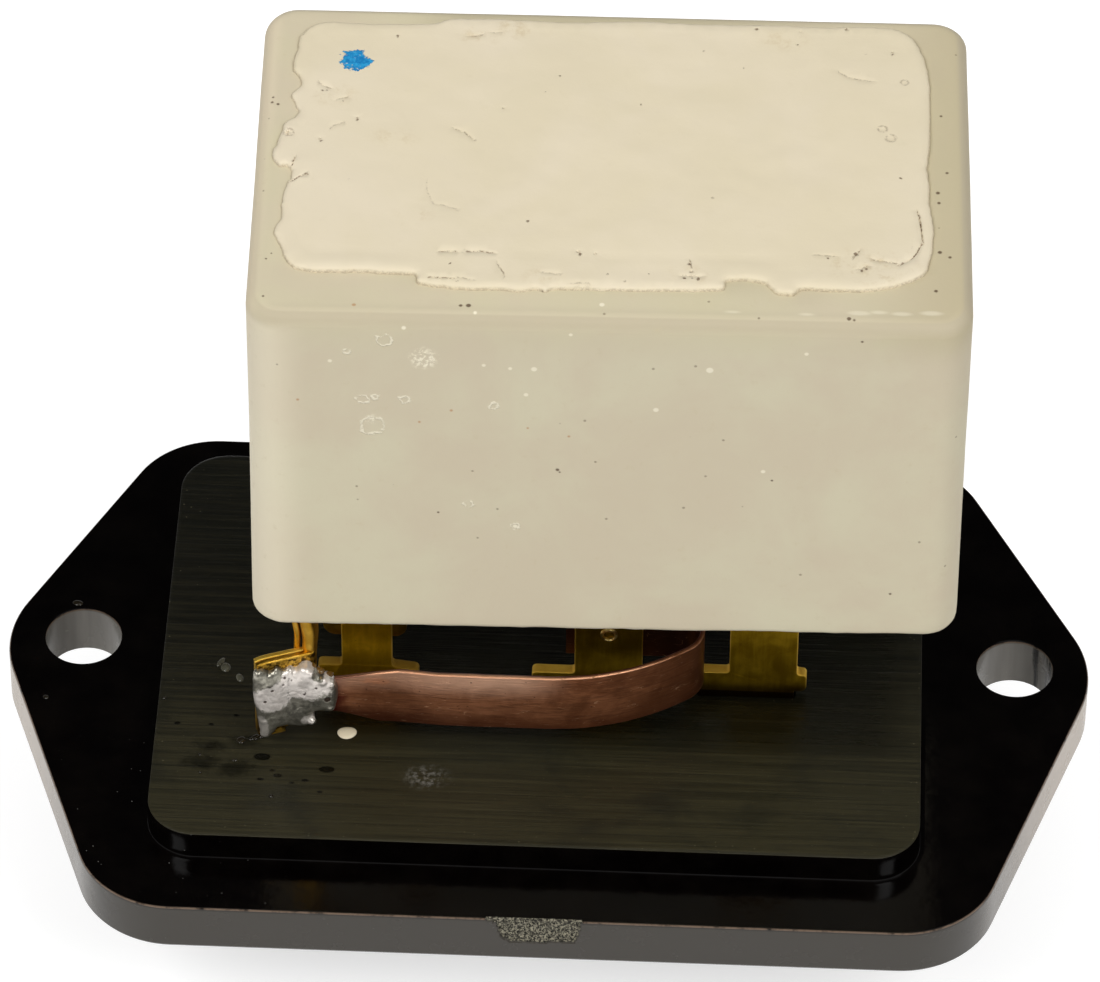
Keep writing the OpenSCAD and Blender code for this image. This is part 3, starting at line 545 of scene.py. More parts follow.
def make_ceramic():
    """Fired ceramic: faint clouds and flecks, grey specks, and chalky rings, froth and drops of cement, with
    painted shade along the top edge and under the cement, and painted highlights on the front left corner and
    the lower edge.
    """
    f = Finish("case_ceramic", Specular_IOR_Level=0.2)
    p = f.place()
    x, y, z = f.split(p)
    cloud = f.noise(p, 0.11, 4, 0.6, 0.3)
    fleck = f.noise(p, 1.3, 4, 0.65)
    f.colour = f.mix(f.step(cloud, 0.35, 0.68), srgb(203, 191, 166), srgb(207, 199, 172))
    upper = f.step(z, CASE_TOP - 3.8, CASE_TOP + 0.2)
    f.paint(upper * f.step(cloud, 0.2, 0.9), 200, 190, 158)
    f.paint(upper * f.step(x, 17.0, 26.0) * 0.8, 186, 174, 142)
    # Painted shade along the case's rounded top edge, where the light falls off, less at the left end.
    ahead = (y - BLOCK_Y) * math.cos(BLOCK_TURN) - (x - BLOCK_X) * math.sin(BLOCK_TURN)
    lip = f.step(z, CASE_TOP - 0.02, CASE_TOP - 0.14) | f.step(ahead, -12.4, -13.3) * 0.4
    brim = f.step(z, CASE_TOP - 1.1, CASE_TOP - 0.35) * lip * (1 - f.step(x, -16.2, -18.0) * 0.55)
    f.paint(brim * 0.93, 183, 172, 147)
    # Painted shadow on the rim's front, under the cement's edge.
    cement_edge_shadow = f.step(y, -14.2, -11.4) * f.step(x, -10.5, -5.5) * f.step(z, CASE_TOP - 0.8, CASE_TOP - 0.5)
    f.paint(cement_edge_shadow * f.step(x, 22.0, 8.0) * 0.6, 176, 166, 138)
    # Painted highlight on the case's front left corner, stronger at its far left.
    corner = f.step(x, -14.0, -18.6) * f.step(y, -9.0, -15.5) * f.step(z, CASE_TOP - 0.6, CASE_TOP - 1.4)
    f.paint(corner * 0.58 + f.step(x, -17.8, -18.9) * corner * 0.25, 245, 235, 210)
    f.paint(upper * f.step(x, -17.2, -18.3) * 0.6, 222, 207, 180)
    # Painted highlight: a pale ragged line along the case's lower edge.
    hem = f.step(z + f.noise(p, 1.2, 3, 0.7) * 0.3, CASE_Z + 0.42, CASE_Z + 0.22)
    f.paint(hem * 0.8, 240, 236, 220)
    f.paint(f.step(fleck, 0.58, 0.8) * 0.35, 196, 182, 150)

    drift = f.add("TexNoise", None, {"Vector": p, "Scale": 2.2, "Detail": 3.0, "Roughness": 0.6}, out=1)
    drift = f.add("VectorMath", {"operation": "SCALE"}, {0: drift, 3: 0.7})
    loose = f.add("VectorMath", {"operation": "ADD"}, (p, drift))
    loose = f.add("VectorMath", {"operation": "ADD"}, (loose, (-0.35, -0.35, -0.35)))
    ring = f.step(abs(f.nearest(loose, RINGS)), 0.12, 0.02) * f.patchy(p, 1.7, 3, 0.7, 0.4, 0.52)
    froth = f.step(f.nearest(loose, FROTH), 0.25, -0.35) * f.patchy(p, 3.2, 5, 0.8, 0.47, 0.56)
    wide = 0.3
    streaks = f.nearest(f.place(wide), [(a * wide, b, c, r) for a, b, c, r in PALE_STREAKS])
    pale = f.step(f.nearest(p, PALE_DOTS), 0.07, -0.03) | f.step(streaks, 0.16, -0.02) * 0.5
    f.paint(pale * 0.8 | ring * 0.85 | froth, 236, 228, 205)
    speck = f.step(f.nearest(p, DARK_DOTS), 0.06, -0.04) | f.step(f.cells(p, 0.42), 0.05, 0.025) * 0.55
    f.paint(speck * 0.85, 84, 62, 44)
    f.paint(f.step(f.nearest(p, BROWN_DOTS), 0.08, -0.03) * 0.7, 176, 128, 82)

    f.set("Base Color", f.colour)
    f.set("Roughness", fleck * 0.18 + 0.5)
    grain = f.bump(f.noise(p, 2.4, 5, 0.65), 0.012)
    f.set("Normal", f.bump(ring - speck, 0.03, grain))
    return f


# Grit and brown smears in the cement: x, y and radius
CEMENT_GRIT = [(8.79, -10.82, 0.1), (8.98, -12.09, 0.09), (8.5, -12.12, 0.07), (9.35, -12.17, 0.09),
               (8.84, -11.55, 0.06), (17.25, -9.85, 0.07), (18.97, -9.4, 0.12), (19.31, -10.9, 0.1),
               (19.62, -10.74, 0.07), (20.41, -11.53, 0.06), (21.81, -10.09, 0.07), (22.42, -8.68, 0.06),
               (20.99, 8.99, 0.09), (18.05, 11.28, 0.1), (12.38, 10.99, 0.08), (11.65, 7.31, 0.06),
               (5.32, 3.62, 0.06), (5.35, 0.86, 0.05), (21.58, -2.44, 0.09), (15.0, 9.66, 0.08),
               (-10.25, 9.22, 0.07), (-14.65, 3.9, 0.08), (-14.34, 3.92, 0.07), (-13.34, 3.03, 0.07),
               (-12.3, 1.31, 0.07), (-14.45, -0.74, 0.06), (0.15, 5.95, 0.07), (-0.66, 4.41, 0.06),
               (-1.3, -7.49, 0.07), (2.05, -10.24, 0.12), (-5.86, -11.53, 0.07), (-0.12, -13.47, 0.07),
               (3.79, -11.94, 0.08), (-5.32, -13.06, 0.07), (6.31, -11.77, 0.06)]
CEMENT_SMEARS = [(19.9, -10.5, 1.9), (8.8, -11.8, 1.0), (-5.2, 9.5, 1.0), (-13.9, 3.5, 1.1),
                 (-8.2, -7.1, 0.9), (-9.9, -0.2, 1.0), (-2.6, 10.4, 1.3), (-0.2, -12.4, 0.9),
                 (14.3, 10.0, 1.1), (22.0, -9.4, 0.9)]
# A dab of blue marking paint and the bite out of its edge, on the block's axes
PAINT_DAB, PAINT_BITE = (-16.3, 9.26, CASE_TOP), (-15.58, 9.72, 0)


def make_cement():
    """Troweled cement with pits, grit, dark cracks, a painted shadow line along its edge, brown smears and a
    dab of blue paint.
    """
    f = Finish("potting_cement", Specular_IOR_Level=0.25)
    p = f.place()
    flat = f.place(z=0)
    cloud = f.noise(p, 0.09, 4, 0.55, 0.5)
    mottle = f.noise(p, 0.8, 4, 0.65)
    f.colour = f.mix(f.step(cloud, 0.35, 0.7), srgb(217, 205, 177), srgb(221, 209, 184))
    f.paint(f.step(mottle, 0.6, 0.8) * 0.25, 207, 194, 164)
    wide = 0.6
    smear = f.nearest(f.place(wide, z=0), [(x * wide, y, 0, r) for x, y, r in CEMENT_SMEARS])
    f.paint(f.step(smear, 0.2, -0.8) * f.patchy(p, 1.1, 4, 0.75, 0.45, 0.7) * 0.5, 196, 176, 138)
    pit = f.step(f.cells(p, 0.3), 0.042, 0.02) * f.step(mottle, 0.4, 0.6)
    grit = f.nearest(flat, [(x, y, 0, r) for x, y, r in CEMENT_GRIT])
    pit = pit | f.step(grit + f.noise(p, 4.0, 3, 0.8) * 0.44 - 0.22, 0.02, -0.05) * 1.1
    # The marks darken the cracks and dimples, and paint a shadow line along the cement's edge.
    dark_cracks_and_edge_shadow = f.marks() * f.patchy(p, 4.5, 4, 0.8, 0.42, 0.58) * 1.3
    f.paint((dark_cracks_and_edge_shadow | pit * 0.7).math("MINIMUM", 1.0), 100, 74, 48)

    cx, cy, cz = turned(PAINT_DAB)
    bx, by, _ = turned(PAINT_BITE)
    dab = f.away(f.place(0.92, 0.98), (cx * 0.92, (cy - 0.15) * 0.98, cz))
    ragged = f.noise(p, 2.3, 4, 0.7) * 1.5 - 0.75
    paint = f.step(dab + ragged, 0.97, 0.9) * f.step(f.away(flat, (bx, by, 0)) + ragged * 0.4, 0.22, 0.34)
    blue = f.mix(f.patchy(p, 4.0, 3, 0.6, 0.35, 0.7), srgb(16, 118, 178), srgb(44, 156, 208))
    f.colour = f.mix(paint * (1 - f.patchy(p, 2.6, 3, 0.7, 0.6, 0.68) * 0.8), f.colour, blue)
    f.set("Base Color", f.colour)
    f.set("Roughness", mottle * 0.16 + 0.5 - paint * 0.15)
    grain = f.bump(f.noise(p, 1.6, 5, 0.6), 0.014)
    f.set("Normal", f.bump(paint - pit, 0.03, grain))
    return f


def make_brass(name, dull, bright, rough, tarnish=0.5, burnt=0.0, shade=0.0):
    """Stamped brass: dull faces and bright cut edges, partly clean metal and partly painted highlight, with
    painted shade at the feet and, by shade, lower down, and burnt by flux below the tab's top edge.
    """
    f = Finish(name, Metallic=1.0)
    p = f.place()
    x, y, z = f.split(p)
    cloud = f.noise(p, 0.55, 4, 0.65, 0.5)
    rolled = f.noise(f.place(4, 1, 0.35), 1.0, 3, 0.6)
    f.colour = f.mix(f.step(cloud * 0.7 + rolled * 0.3, 0.36, 0.68), srgb(*dull), srgb(*bright))
    f.paint(f.patchy(p, 2.4, 5, 0.75, 0.62, 0.72) * tarnish, 92, 62, 20)
    # Cut edges are painted bright, partly as clean metal and partly as a painted highlight.
    cut = f.marks()
    f.colour = f.mix(cut, f.colour, f.mix(cloud, srgb(220, 172, 44), srgb(250, 218, 108)))
    f.paint(f.step(z + cloud * 0.8, 6.2, 3.8) * shade, 104, 70, 4)
    # Painted shade at the feet where they go into the pad, and on the right terminal's raised band.
    foot_shade_and_scorch = f.step(z, 2.74, 2.5) | f.step(z, 3.7, 2.7) * f.step(x, 7.0, 9.0) * 0.8
    if burnt:
        sin_a, cos_a = math.sin(TAB_ANGLE), math.cos(TAB_ANGLE)
        ahead = x * sin_a - y * cos_a
        middle = -15.2 * sin_a + 10.2 * cos_a
        scorch = f.step(z, 10.3, 10.12) * f.step(ahead, middle, middle + 0.3)
        foot_shade_and_scorch = foot_shade_and_scorch | scorch * f.patchy(p, 2.6, 4, 0.7, 0.4, 0.56) * burnt
    f.paint(foot_shade_and_scorch, 40, 24, 6)
    f.set("Base Color", f.colour)
    f.set("Roughness", cloud * 0.2 + rough + cut * 0.16)
    f.set("Normal", f.bump(rolled + cloud * 0.6, 0.012))
    return f


def make_copper():
    """Rolled copper, scratched along its length and red by the solder, with a painted highlight along its
    front top edge and its upper middle, darker along its back top edge, and painted shade on its lower half,
    its right end and the part behind.
    """
    f = Finish("strip_copper", Metallic=0.8)
    p = f.place()
    x, y, z = f.split(p)
    cloud = f.noise(p, 0.5, 4, 0.65, 0.4)
    rolled = f.noise(f.place(0.5, 0.5, 7), 1.0, 3, 0.6)
    f.colour = f.mix(f.step(cloud, 0.3, 0.72), srgb(126, 76, 46), srgb(164, 106, 70))
    # Painted highlight on the strip's middle.
    f.paint(f.step(x, -11.0, -6.5) * f.step(x, 3.0, -4.0) * 0.45, 184, 124, 88)
    f.paint(f.step(rolled, 0.46, 0.7) * 0.6, 92, 54, 34)
    # Painted shade: darker towards the lower edge, towards the right end and on the part behind, under the
    # block.
    f.paint(f.step(z + cloud * 1.6, 7.1, 5.6) * 0.5, 120, 62, 34)
    f.paint(f.step(x, 3.5, 9.5) * 0.5, 108, 60, 28)
    f.paint(f.step(y, -8.5, -6.0) * 0.75, 66, 26, 16)
    flux = f.step(x + cloud * 2.2, -10.9, -12.7)
    f.paint(flux * 0.95, 88, 18, 8)
    burn = f.away(f.place(0.3), (-10.7 * 0.3, -11.3, 8.45)) + f.noise(p, 2.5, 4, 0.7) * 0.7
    f.paint(f.step(burn, 0.82, 0.5) * 0.85, 176, 92, 24)
    sheen = f.step(z + cloud * 0.8, 7.4, 9.4) * f.step(x, 2.4, -2.6) * f.step(y, -9.6, -10.6)
    f.paint(sheen * (f.step(x, -11.0, -3.6) * 0.4 + 0.45), 240, 190, 158)
    f.paint(f.step(z + cloud * 0.6, 7.0, 5.5) * f.step(x, -0.5, -9.5) * 0.6, 60, 16, 4)
    f.paint(f.step(z + cloud, 8.4, 7.0) * f.step(x, -6.0, -1.0) * 0.2, 84, 46, 20)
    f.paint(f.step(f.noise(f.place(1.2, 1.2, 9), 1.0, 3, 0.7), 0.64, 0.74) * 0.45, 214, 168, 136)
    pit = f.step(f.cells(p, 1.1), 0.09, 0.05)
    f.paint(pit * 0.6, 60, 26, 14)
    hair = abs(f.noise(f.place(0.35, 0.35, 1.5), 1.0, 2, 0.5) - 0.5)
    f.paint(f.step(hair, 0.007, 0.002) * f.patchy(p, 0.7, 3, 0.6, 0.5, 0.6) * 0.55, 214, 164, 124)
    # The front top edge takes a painted highlight, fading at the right end; the back top edge is painted
    # darker.
    mark = f.marks()
    edge = mark | 0.0
    sooty = f.step(x + cloud, -9.2, -11.4)
    f.paint((-mark | 0.0) * 0.85, 74, 24, 14)
    f.paint(edge * sooty * 0.7, 74, 24, 14)
    cut = edge * (1 - flux) * f.patchy(p, 1.4, 4, 0.7, 0.25, 0.5)
    f.paint((cut * f.step(x, 9.5, 3.0) + cut * 0.25) * (1 - sooty) * 0.85, 242, 180, 140)
    f.set("Base Color", f.colour)
    f.set("Roughness", cloud * 0.22 + 0.26 + flux * 0.1)
    scratch = f.noise(f.place(0.7, 0.7, 5), 2.0, 2, 0.5)
    f.set("Normal", f.bump(scratch + rolled * 0.6 - pit * 0.5, 0.014))
    return f


# Pits in the solder's front, (x, z, radius)
SOLDER_PITS = [(-16.63, 9.12, 0.07), (-16.72, 8.6, 0.05), (-17.43, 8.26, 0.1), (-17.9, 7.34, 0.1),
               (-14.62, 8.25, 0.07), (-15.37, 7.65, 0.08), (-15.3, 7.8, 0.05), (-13.89, 7.25, 0.2),
               (-16.2, 8.9, 0.04)]


def make_solder():
    """Frozen solder, painted satin white where it is lit and grey where it lies in shade, with pits and a
    seam.
    """
    f = Finish("solder")
    p = f.place()
    x, _, z = f.split(p)
    cloud = f.noise(p, 1.5, 5, 0.75, 0.3)
    shake = cloud * 0.9 + f.noise(p, 4.5, 4, 0.8) * 0.7 - 0.8

    def patch(cx, cz, rx, rz):
        spot = f.away(f.place(1 / rx, 0, 1 / rz), (cx / rx, 0, cz / rz))
        return f.step(spot + shake, 1.12, 0.9)

    # Painted light: the lit patches of the lump, with its shaded patches taken out.
    lit = patch(-17.4, 7.6, 1.25, 1.25) | patch(-15.3, 8.55, 1.75, 1.35)
    lit = lit * (1 - patch(-17.95, 9.35, 0.85, 0.75)) * (1 - patch(-14.5, 9.2, 0.42, 0.38))
    lit = lit | patch(-18.2, 4.7, 0.5, 1.3) * 0.5 | patch(-15.2, 5.2, 0.45, 0.4) * 0.6
    f.colour = f.mix(f.step(cloud, 0.35, 0.65), srgb(118, 115, 104), srgb(170, 166, 152))
    f.colour = f.mix(lit, f.colour, f.mix(f.step(cloud, 0.3, 0.6), srgb(206, 198, 190), srgb(232, 224, 216)))
    pits = f.nearest(f.place(y=0), [(a, 0, b, r) for a, b, r in SOLDER_PITS])
    small = f.step(f.cells(p, 2.2), 0.16, 0.08) * f.step(cloud, 0.5, 0.62)
    pit = f.step(pits + shake * 0.12, 0.05, -0.03) | small * 0.6
    f.paint(pit * 0.9, 62, 44, 34)
    seam = f.step(abs(x + 16.4 + shake * 0.3), 0.09, 0.03) * f.step(z, 6.6, 7.2)
    seam = seam * f.patchy(p, 4.0, 3, 0.7, 0.42, 0.6)
    f.paint(seam * 0.6, 96, 92, 86)
    f.set("Base Color", f.colour)
    f.set("Metallic", lit * -0.3 + 0.85)
    f.set("Roughness", cloud * 0.2 + 0.22 + lit * 0.08)
    f.set("Normal", f.bump(f.noise(p, 2.4, 4, 0.65) - pit * 0.8 - seam * 0.5, 0.035))
    return f


def make_wire(name, light, dark, metallic, rough):
    """Plain inner parts: wire, caps and cores."""
    f = Finish(name, Metallic=metallic)
    p = f.place()
    cloud = f.noise(p, 1.4, 4, 0.6)
    f.set("Base Color", f.mix(cloud, srgb(*dark), srgb(*light)))
    f.set("Roughness", cloud * 0.2 + rough)
    f.set("Normal", f.bump(f.noise(p, 4.0, 3, 0.6), 0.01))
    return f


def make_flux(name, dark, light):
    """Glassy flux and resin."""
    f = Finish(name, Specular_IOR_Level=0.6)
    cloud = f.noise(f.place(), 1.5, 3, 0.6)
    f.set("Base Color", f.mix(cloud, srgb(*dark), srgb(*light)))
    f.set("Roughness", cloud * 0.1 + 0.06)
    f.set("Normal", f.bump(cloud, 0.02))
    return f


PHENOLIC, CERAMIC, CEMENT = make_phenolic(), make_ceramic(), make_cement()
COPPER, SOLDER = make_copper(), make_solder()
TERMINAL_BRASS = make_brass("terminal_brass", (150, 116, 14), (188, 152, 34), 0.36)
# A lighter copy of the terminal brass, as painted light, with painted shade lower down.
LEFT_BRASS_PAINTED_LIGHT = make_brass("left_terminal_brass_painted_light", (208, 160, 16), (240, 190, 36), 0.46, shade=0.7)
LEAD_BRASS = make_brass("lead_brass", (188, 140, 38), (226, 182, 78), 0.26, 0.4, burnt=0.9)
BLOCK_LEAD_BRASS = make_brass("block_lead_brass", (140, 106, 16), (176, 138, 34), 0.3)
RIVET_BRASS = make_brass("rivet_brass", (206, 172, 96), (236, 212, 140), 0.22, 0.2)
WIRE = make_wire("resistance_wire", (150, 146, 140), (96, 92, 88), 1.0, 0.3)
CAP_STEEL = make_wire("cap_steel", (196, 196, 198), (150, 152, 154), 1.0, 0.28)
CORE = make_wire("core_ceramic", (232, 228, 216), (214, 208, 194), 0.0, 0.6)
FLUX = make_flux("flux_beads", (10, 9, 6), (40, 34, 22))
RESIN = make_flux("resin_drops", (26, 26, 20), (104, 102, 86))
BROWN_RESIN = make_flux("brown_resin", (44, 26, 8), (122, 88, 34))


# Mounting plate

GATE = np.array([(-3.16, 0.4), (-3.1, -0.05), (-2.37, -0.41), (-2.05, -1.65), (-1.4, -2.2),
                 (0.4, -2.12), (2.67, -2.03), (2.9, -1.39), (3.16, 0.0), (3.2, 0.4)])
# How far from the middle the plate's front edge is finely divided for the gate, and how finely
GATE_REACH, GATE_STEP = 3.6, 0.12


def broken_gate(verts):
    """Sinks the torn gate mark into the plate's front side."""
    pts = np.array(verts)
    low, high = GATE.min(0) - 0.2, GATE.max(0)
    near = (pts[:, 1] < -PLATE_FRONT + 0.2) & (pts[:, 0] > low[0]) & (pts[:, 0] < high[0])
    near &= (pts[:, 2] > low[1]) & (pts[:, 2] < 0.01)
    hit = np.nonzero(near)[0]
    torn = np.zeros(len(pts))
    for k in hit[inside(GATE, pts[hit][:, [0, 2]])]:
        torn[k] = 1.0
        deep = 0.3 if pts[k, 2] > -0.1 else 1.0
        pts[k, 1] += deep * min(max(0.2 + 0.16 * ripple(pts[k], 0.35, 3.0, 3), 0.03), 0.3)
    return [tuple(p) for p in pts], torn


def stepped(s, loop, moved, profile):
    """A wall of levels, each (inset, z, out). The moved points also go forward by the third number."""
    rings = []
    for by, z, out in profile:
        level = inset(loop, by)
        level[moved, 1] -= out
        rings.append(s.ring(level, z))
    s.wall(rings)
    return rings


def make_plate():
    """The moulding in one skin: flange with two bores, raised pad with three slots, and shroud below."""
    s = Shell()
    points = [(-TIP_X, 0), (-TIP_X + FRONT_INSET, -PLATE_FRONT), (TIP_X - FRONT_INSET, -PLATE_FRONT),
              (TIP_X, 0), (TIP_X - BACK_INSET, PLATE_BACK), (-TIP_X + BACK_INSET, PLATE_BACK)]
    radii = [TIP_R, FRONT_R, FRONT_R, TIP_R, BACK_R, BACK_R]
    front = -PLATE_FRONT + 0.9
    edge = dense(outline(points, radii, 0.5),
                 lambda m: GATE_STEP if abs(m[0]) < GATE_REACH and m[1] < front else 1.0)
    fine = [(x, -PLATE_FRONT) for x in np.arange(-GATE_REACH, GATE_REACH + 0.01, GATE_STEP)]
    edge = edge[(np.abs(edge[:, 0]) >= GATE_REACH + 0.1) | (edge[:, 1] >= front)]
    edge = np.array(sorted([*edge, *fine], key=lambda q: math.atan2(q[1], q[0])))
    steps = [(0.55, -PLATE_T), (0.35, -PLATE_T), (0.12, -PLATE_T + 0.05), (0.0, -PLATE_T + 0.25)]
    steps += [(0.0, z) for z in np.arange(-2.7, -0.29, 0.12)]
    steps += [(0.0, -0.14), (0.02, -0.07), (0.06, -0.02), (0.13, 0.0), (0.25, 0.0)]
    flange = s.loft(edge, steps)

    def bore(x):
        profile = [(0.25, 0.0), (0.035, 0.0), (0.01, -0.012), (0, -0.04), (0, -0.25),
                   (0, -1.2), (0, -2.4), (0, -PLATE_T + 0.05), (0.05, -PLATE_T), (0.25, -PLATE_T)]
        a = around(72)
        rings = []
        for out, z in profile:
            r = HOLE_R + out + 0.008 * np.cos(a * 24) * (0.3 < -z < 3.6)
            rings.append(s.ring(np.stack([x + r * np.cos(a), r * np.sin(a)], 1), z))
        s.wall(rings)
        return rings[0], rings[-1]

    bores = [bore(-HOLE_X), bore(HOLE_X)]
    pad = dense(rounded(PAD_SHIFT - PAD_L / 2, PAD_SHIFT + PAD_L / 2, -PAD_FRONT, PAD_BACK, PAD_R), 1.5)
    pad_rings = s.loft(pad, [(-0.35, 0.0), (-0.12, 0.0), (-0.04, 0.03), (0.0, 0.12), (0.0, 0.6), (0.01, 1.4),
                             (0.02, PAD_H - 0.14), (0.05, PAD_H - 0.04), (0.12, PAD_H), (0.35, PAD_H)])
    s.cap(flange[-1], [pad_rings[0], *[b[0] for b in bores]])

    slots = []
    for x in (LEFT_X, MIDDLE_X, RIGHT_X):
        w = BLADE_W / 2 + SLOT_GAP
        loop = dense(rounded(x - w, x + w, ROW_Y - SLOT_GAP, ROW_BACK + SLOT_GAP, 0.1, 0.08), 1.0)
        slots.append(s.loft(loop, [(-0.2, PAD_H), (-0.06, PAD_H), (0.0, PAD_H - 0.06),
                                   (0.0, -PLATE_T + 0.05), (-0.05, -PLATE_T), (-0.2, -PLATE_T)]))
    s.cap(pad_rings[-1], [r[0] for r in slots])

    # Connector shroud, with the latch ramp in front and two ribs behind
    mid = (SOCKET_X0 + SOCKET_X1) / 2
    w = SOCKET_W / 2 + SHROUD_WALL
    x0, x1, y0, y1 = SOCKET_X0 - SHROUD_WALL, SOCKET_X1 + SHROUD_WALL, SOCKET_Y - w, SOCKET_Y + w
    left, right = mid - LATCH_L / 2, mid + LATCH_L / 2
    r = SOCKET_R + SHROUD_WALL
    outer = dense(outline([(x0, y0), (left - 0.03, y0), (left, y0), (right, y0), (right + 0.03, y0),
                           (x1, y0), (x1, y1), (x0, y1)], [r, 0, 0, 0, 0, r, r, r]), 1.2)
    on_ramp = (np.abs(outer[:, 0] - mid) <= LATCH_L / 2 + 1e-6) & (outer[:, 1] < y0 + 1e-6)
    outside = stepped(s, outer, on_ramp, [
        (-0.45, -PLATE_T, 0), (-0.25, -PLATE_T, 0), (-0.07, -PLATE_T - 0.07, 0), (0, -PLATE_T - 0.25, 0),
        (0, -9.7, 0), (0, -9.78, LATCH_OUT - 0.08), (0, -9.9, LATCH_OUT), (0, -10.75, LATCH_OUT),
        (0, -10.95, LATCH_OUT - 0.08), (0, -13.6, 0.04), (0, -13.8, 0), (0, RIM_Z + 0.3, 0),
        (0.09, RIM_Z + 0.09, 0), (0.3, RIM_Z, 0), (0.45, RIM_Z, 0)])
    ribs = [SOCKET_X0 + 3.5, SOCKET_X1 - 6]
    yb = SOCKET_Y + SOCKET_W / 2
    path = [(SOCKET_X0, SOCKET_Y - SOCKET_W / 2), (SOCKET_X1, SOCKET_Y - SOCKET_W / 2), (SOCKET_X1, yb)]
    bends = [SOCKET_R] * 3
    for x in reversed(ribs):
        path += [(x + KEY_RIB + 0.03, yb), (x + KEY_RIB, yb), (x, yb), (x - 0.03, yb)]
        bends += [0] * 4
    inner = dense(outline([*path, (SOCKET_X0, yb)], [*bends, SOCKET_R]), 1.2)
    on_rib = np.zeros(len(inner), bool)
    for x in ribs:
        on_rib |= (inner[:, 0] > x - 1e-6) & (inner[:, 0] < x + KEY_RIB + 1e-6) & (inner[:, 1] > yb - 1e-6)
    socket = stepped(s, inner, on_rib, [
        (-0.55, RIM_Z, 0), (-0.4, RIM_Z, 0), (-0.12, RIM_Z + 0.1, 0), (0, RIM_Z + 0.4, 0),
        (0, RIM_Z + 1.0, 0), (0, RIM_Z + 1.5, KEY_RIB), (0, -9.0, KEY_RIB), (0, -PLATE_T, KEY_RIB)])
    s.cap(outside[-1], [socket[0]])
    s.cap(socket[-1], [r[-1] for r in slots])
    s.cap(flange[0], [outside[0], *[b[1] for b in bores]])
    s.verts, torn = broken_gate(s.verts)
    return s.piece("base_plate_moulding", PHENOLIC, ["base_plate"], crease=30, marks=torn)


# Ceramic case and potting cement

# Openings in the case's floor for the three leads: from and to, along the row and across it
LEAD_HOLES = {"fuse_lead": (-15.28, -14.27, -10.6, -7.1), "left_lead": (-9.78, -7.27, -4.55, -3.95),
              "right_lead": (12.05, 16.5, -4.55, -3.95)}


def cavity_loop():
    """The case's inner wall, on the block's own axes."""
    x, front, back = CASE_L / 2 - CASE_WALL, CASE_FRONT - FRONT_WALL, CASE_BACK - CASE_WALL
    return dense(rounded(-x, x, -front, back, CAVITY_R), 1.0)


def make_case():
    """The open ceramic box, slightly uneven outside, with openings for the leads in its floor."""
    s = Shell()
    base = dense(rounded(-CASE_L / 2, CASE_L / 2, -CASE_FRONT, CASE_BACK, CASE_R, 0.4), 0.8)

    def skin(d, z):
        """One level of the outside, fired slightly uneven, never past the true size."""
        loop = inset(base, d)
        normal = base - inset(base, 1.0)
        pts = at_height(loop, z)
        near = max(0.0, 1 - (z - CASE_Z) / 1.2)
        for k, p in enumerate(pts):
            low = 0.02 + 0.025 * ripple(p, 9.0, 1.0)
            low += near * (0.02 + 0.04 * ripple(p, 1.1, 5.0, 3))
            # The ends draw in towards the top, the back is a little out of parallel
            low += 0.13 * abs(normal[k][0]) * min(1.0, (z - CASE_Z) / 16)
            pts[k, :2] -= normal[k] * max(low, 0)
            pts[k, 1] -= max(0.0, normal[k][1]) * (p[0] / 22 * 0.13 + 0.01)
            # The lower edge is ragged and rises towards the right
            lifted = 0.16 * min(1.0, max(0.0, (p[0] - 6) / 16))
            pts[k, 2] += near * near * (lifted + max(0.0, 0.03 + 0.09 * ripple(p, 1.5, 8.0, 3)))
        return turned(pts)

    levels = [(SOLE_R, CASE_Z), (0.28, CASE_Z + 0.03), (0.12, CASE_Z + 0.15), (0.03, CASE_Z + 0.3),
              (0.0, CASE_Z + SOLE_R)]
    levels += [(0.0, z) for z in np.linspace(CASE_Z + 1.1, CASE_TOP - RIM_R - 0.6, 20)]
    for k in range(9):
        a = math.pi / 2 * k / 8
        levels.append((RIM_R * (1 - math.cos(a)), CASE_TOP - RIM_R * (1 - math.sin(a))))
    outside = [s.ring(skin(d, z)) for d, z in levels]
    s.wall(outside)
    cavity = cavity_loop()
    walls = [s.ring(turned(at_height(inset(cavity, d), z))) for d, z in
             ((-0.12, CASE_TOP - 0.02), (-0.04, CASE_TOP - 0.06), (0, CASE_TOP - 0.15), (0, 34.0),
              (0, FLOOR_Z + 0.2), (0.06, FLOOR_Z + 0.06), (0.15, FLOOR_Z))]
    s.wall(walls)
    grid = lattice((-22, 22.1, 0.7), (-14, 14.8, 0.7))
    brim, mouth = inset(base, RIM_R), inset(cavity, -0.12)
    keep = inside(brim, grid) & ~inside(mouth, grid)
    keep &= (reach(brim, grid) > 0.25) & (reach(mouth, grid) > 0.25)
    grid = turned(grid[keep])
    s.cap(outside[-1], [walls[0]], grid, lambda q: [
        (x, y, CASE_TOP - max(0.0, 0.02 + 0.05 * ripple((x, y, 0), 5.0, 2.0))) for x, y in q])
    holes = []
    for sides in LEAD_HOLES.values():
        loop = dense(rounded(*sides, 0.12, 0.08), 1.0)
        holes.append([s.ring(loop, FLOOR_Z), s.ring(loop, CASE_Z)])
        s.wall(holes[-1])
    s.cap(walls[-1], [h[0] for h in holes])
    s.cap(outside[0], [h[1] for h in holes])
    return s.piece("ceramic_case_shell", CERAMIC, ["ceramic_case"], crease=50)


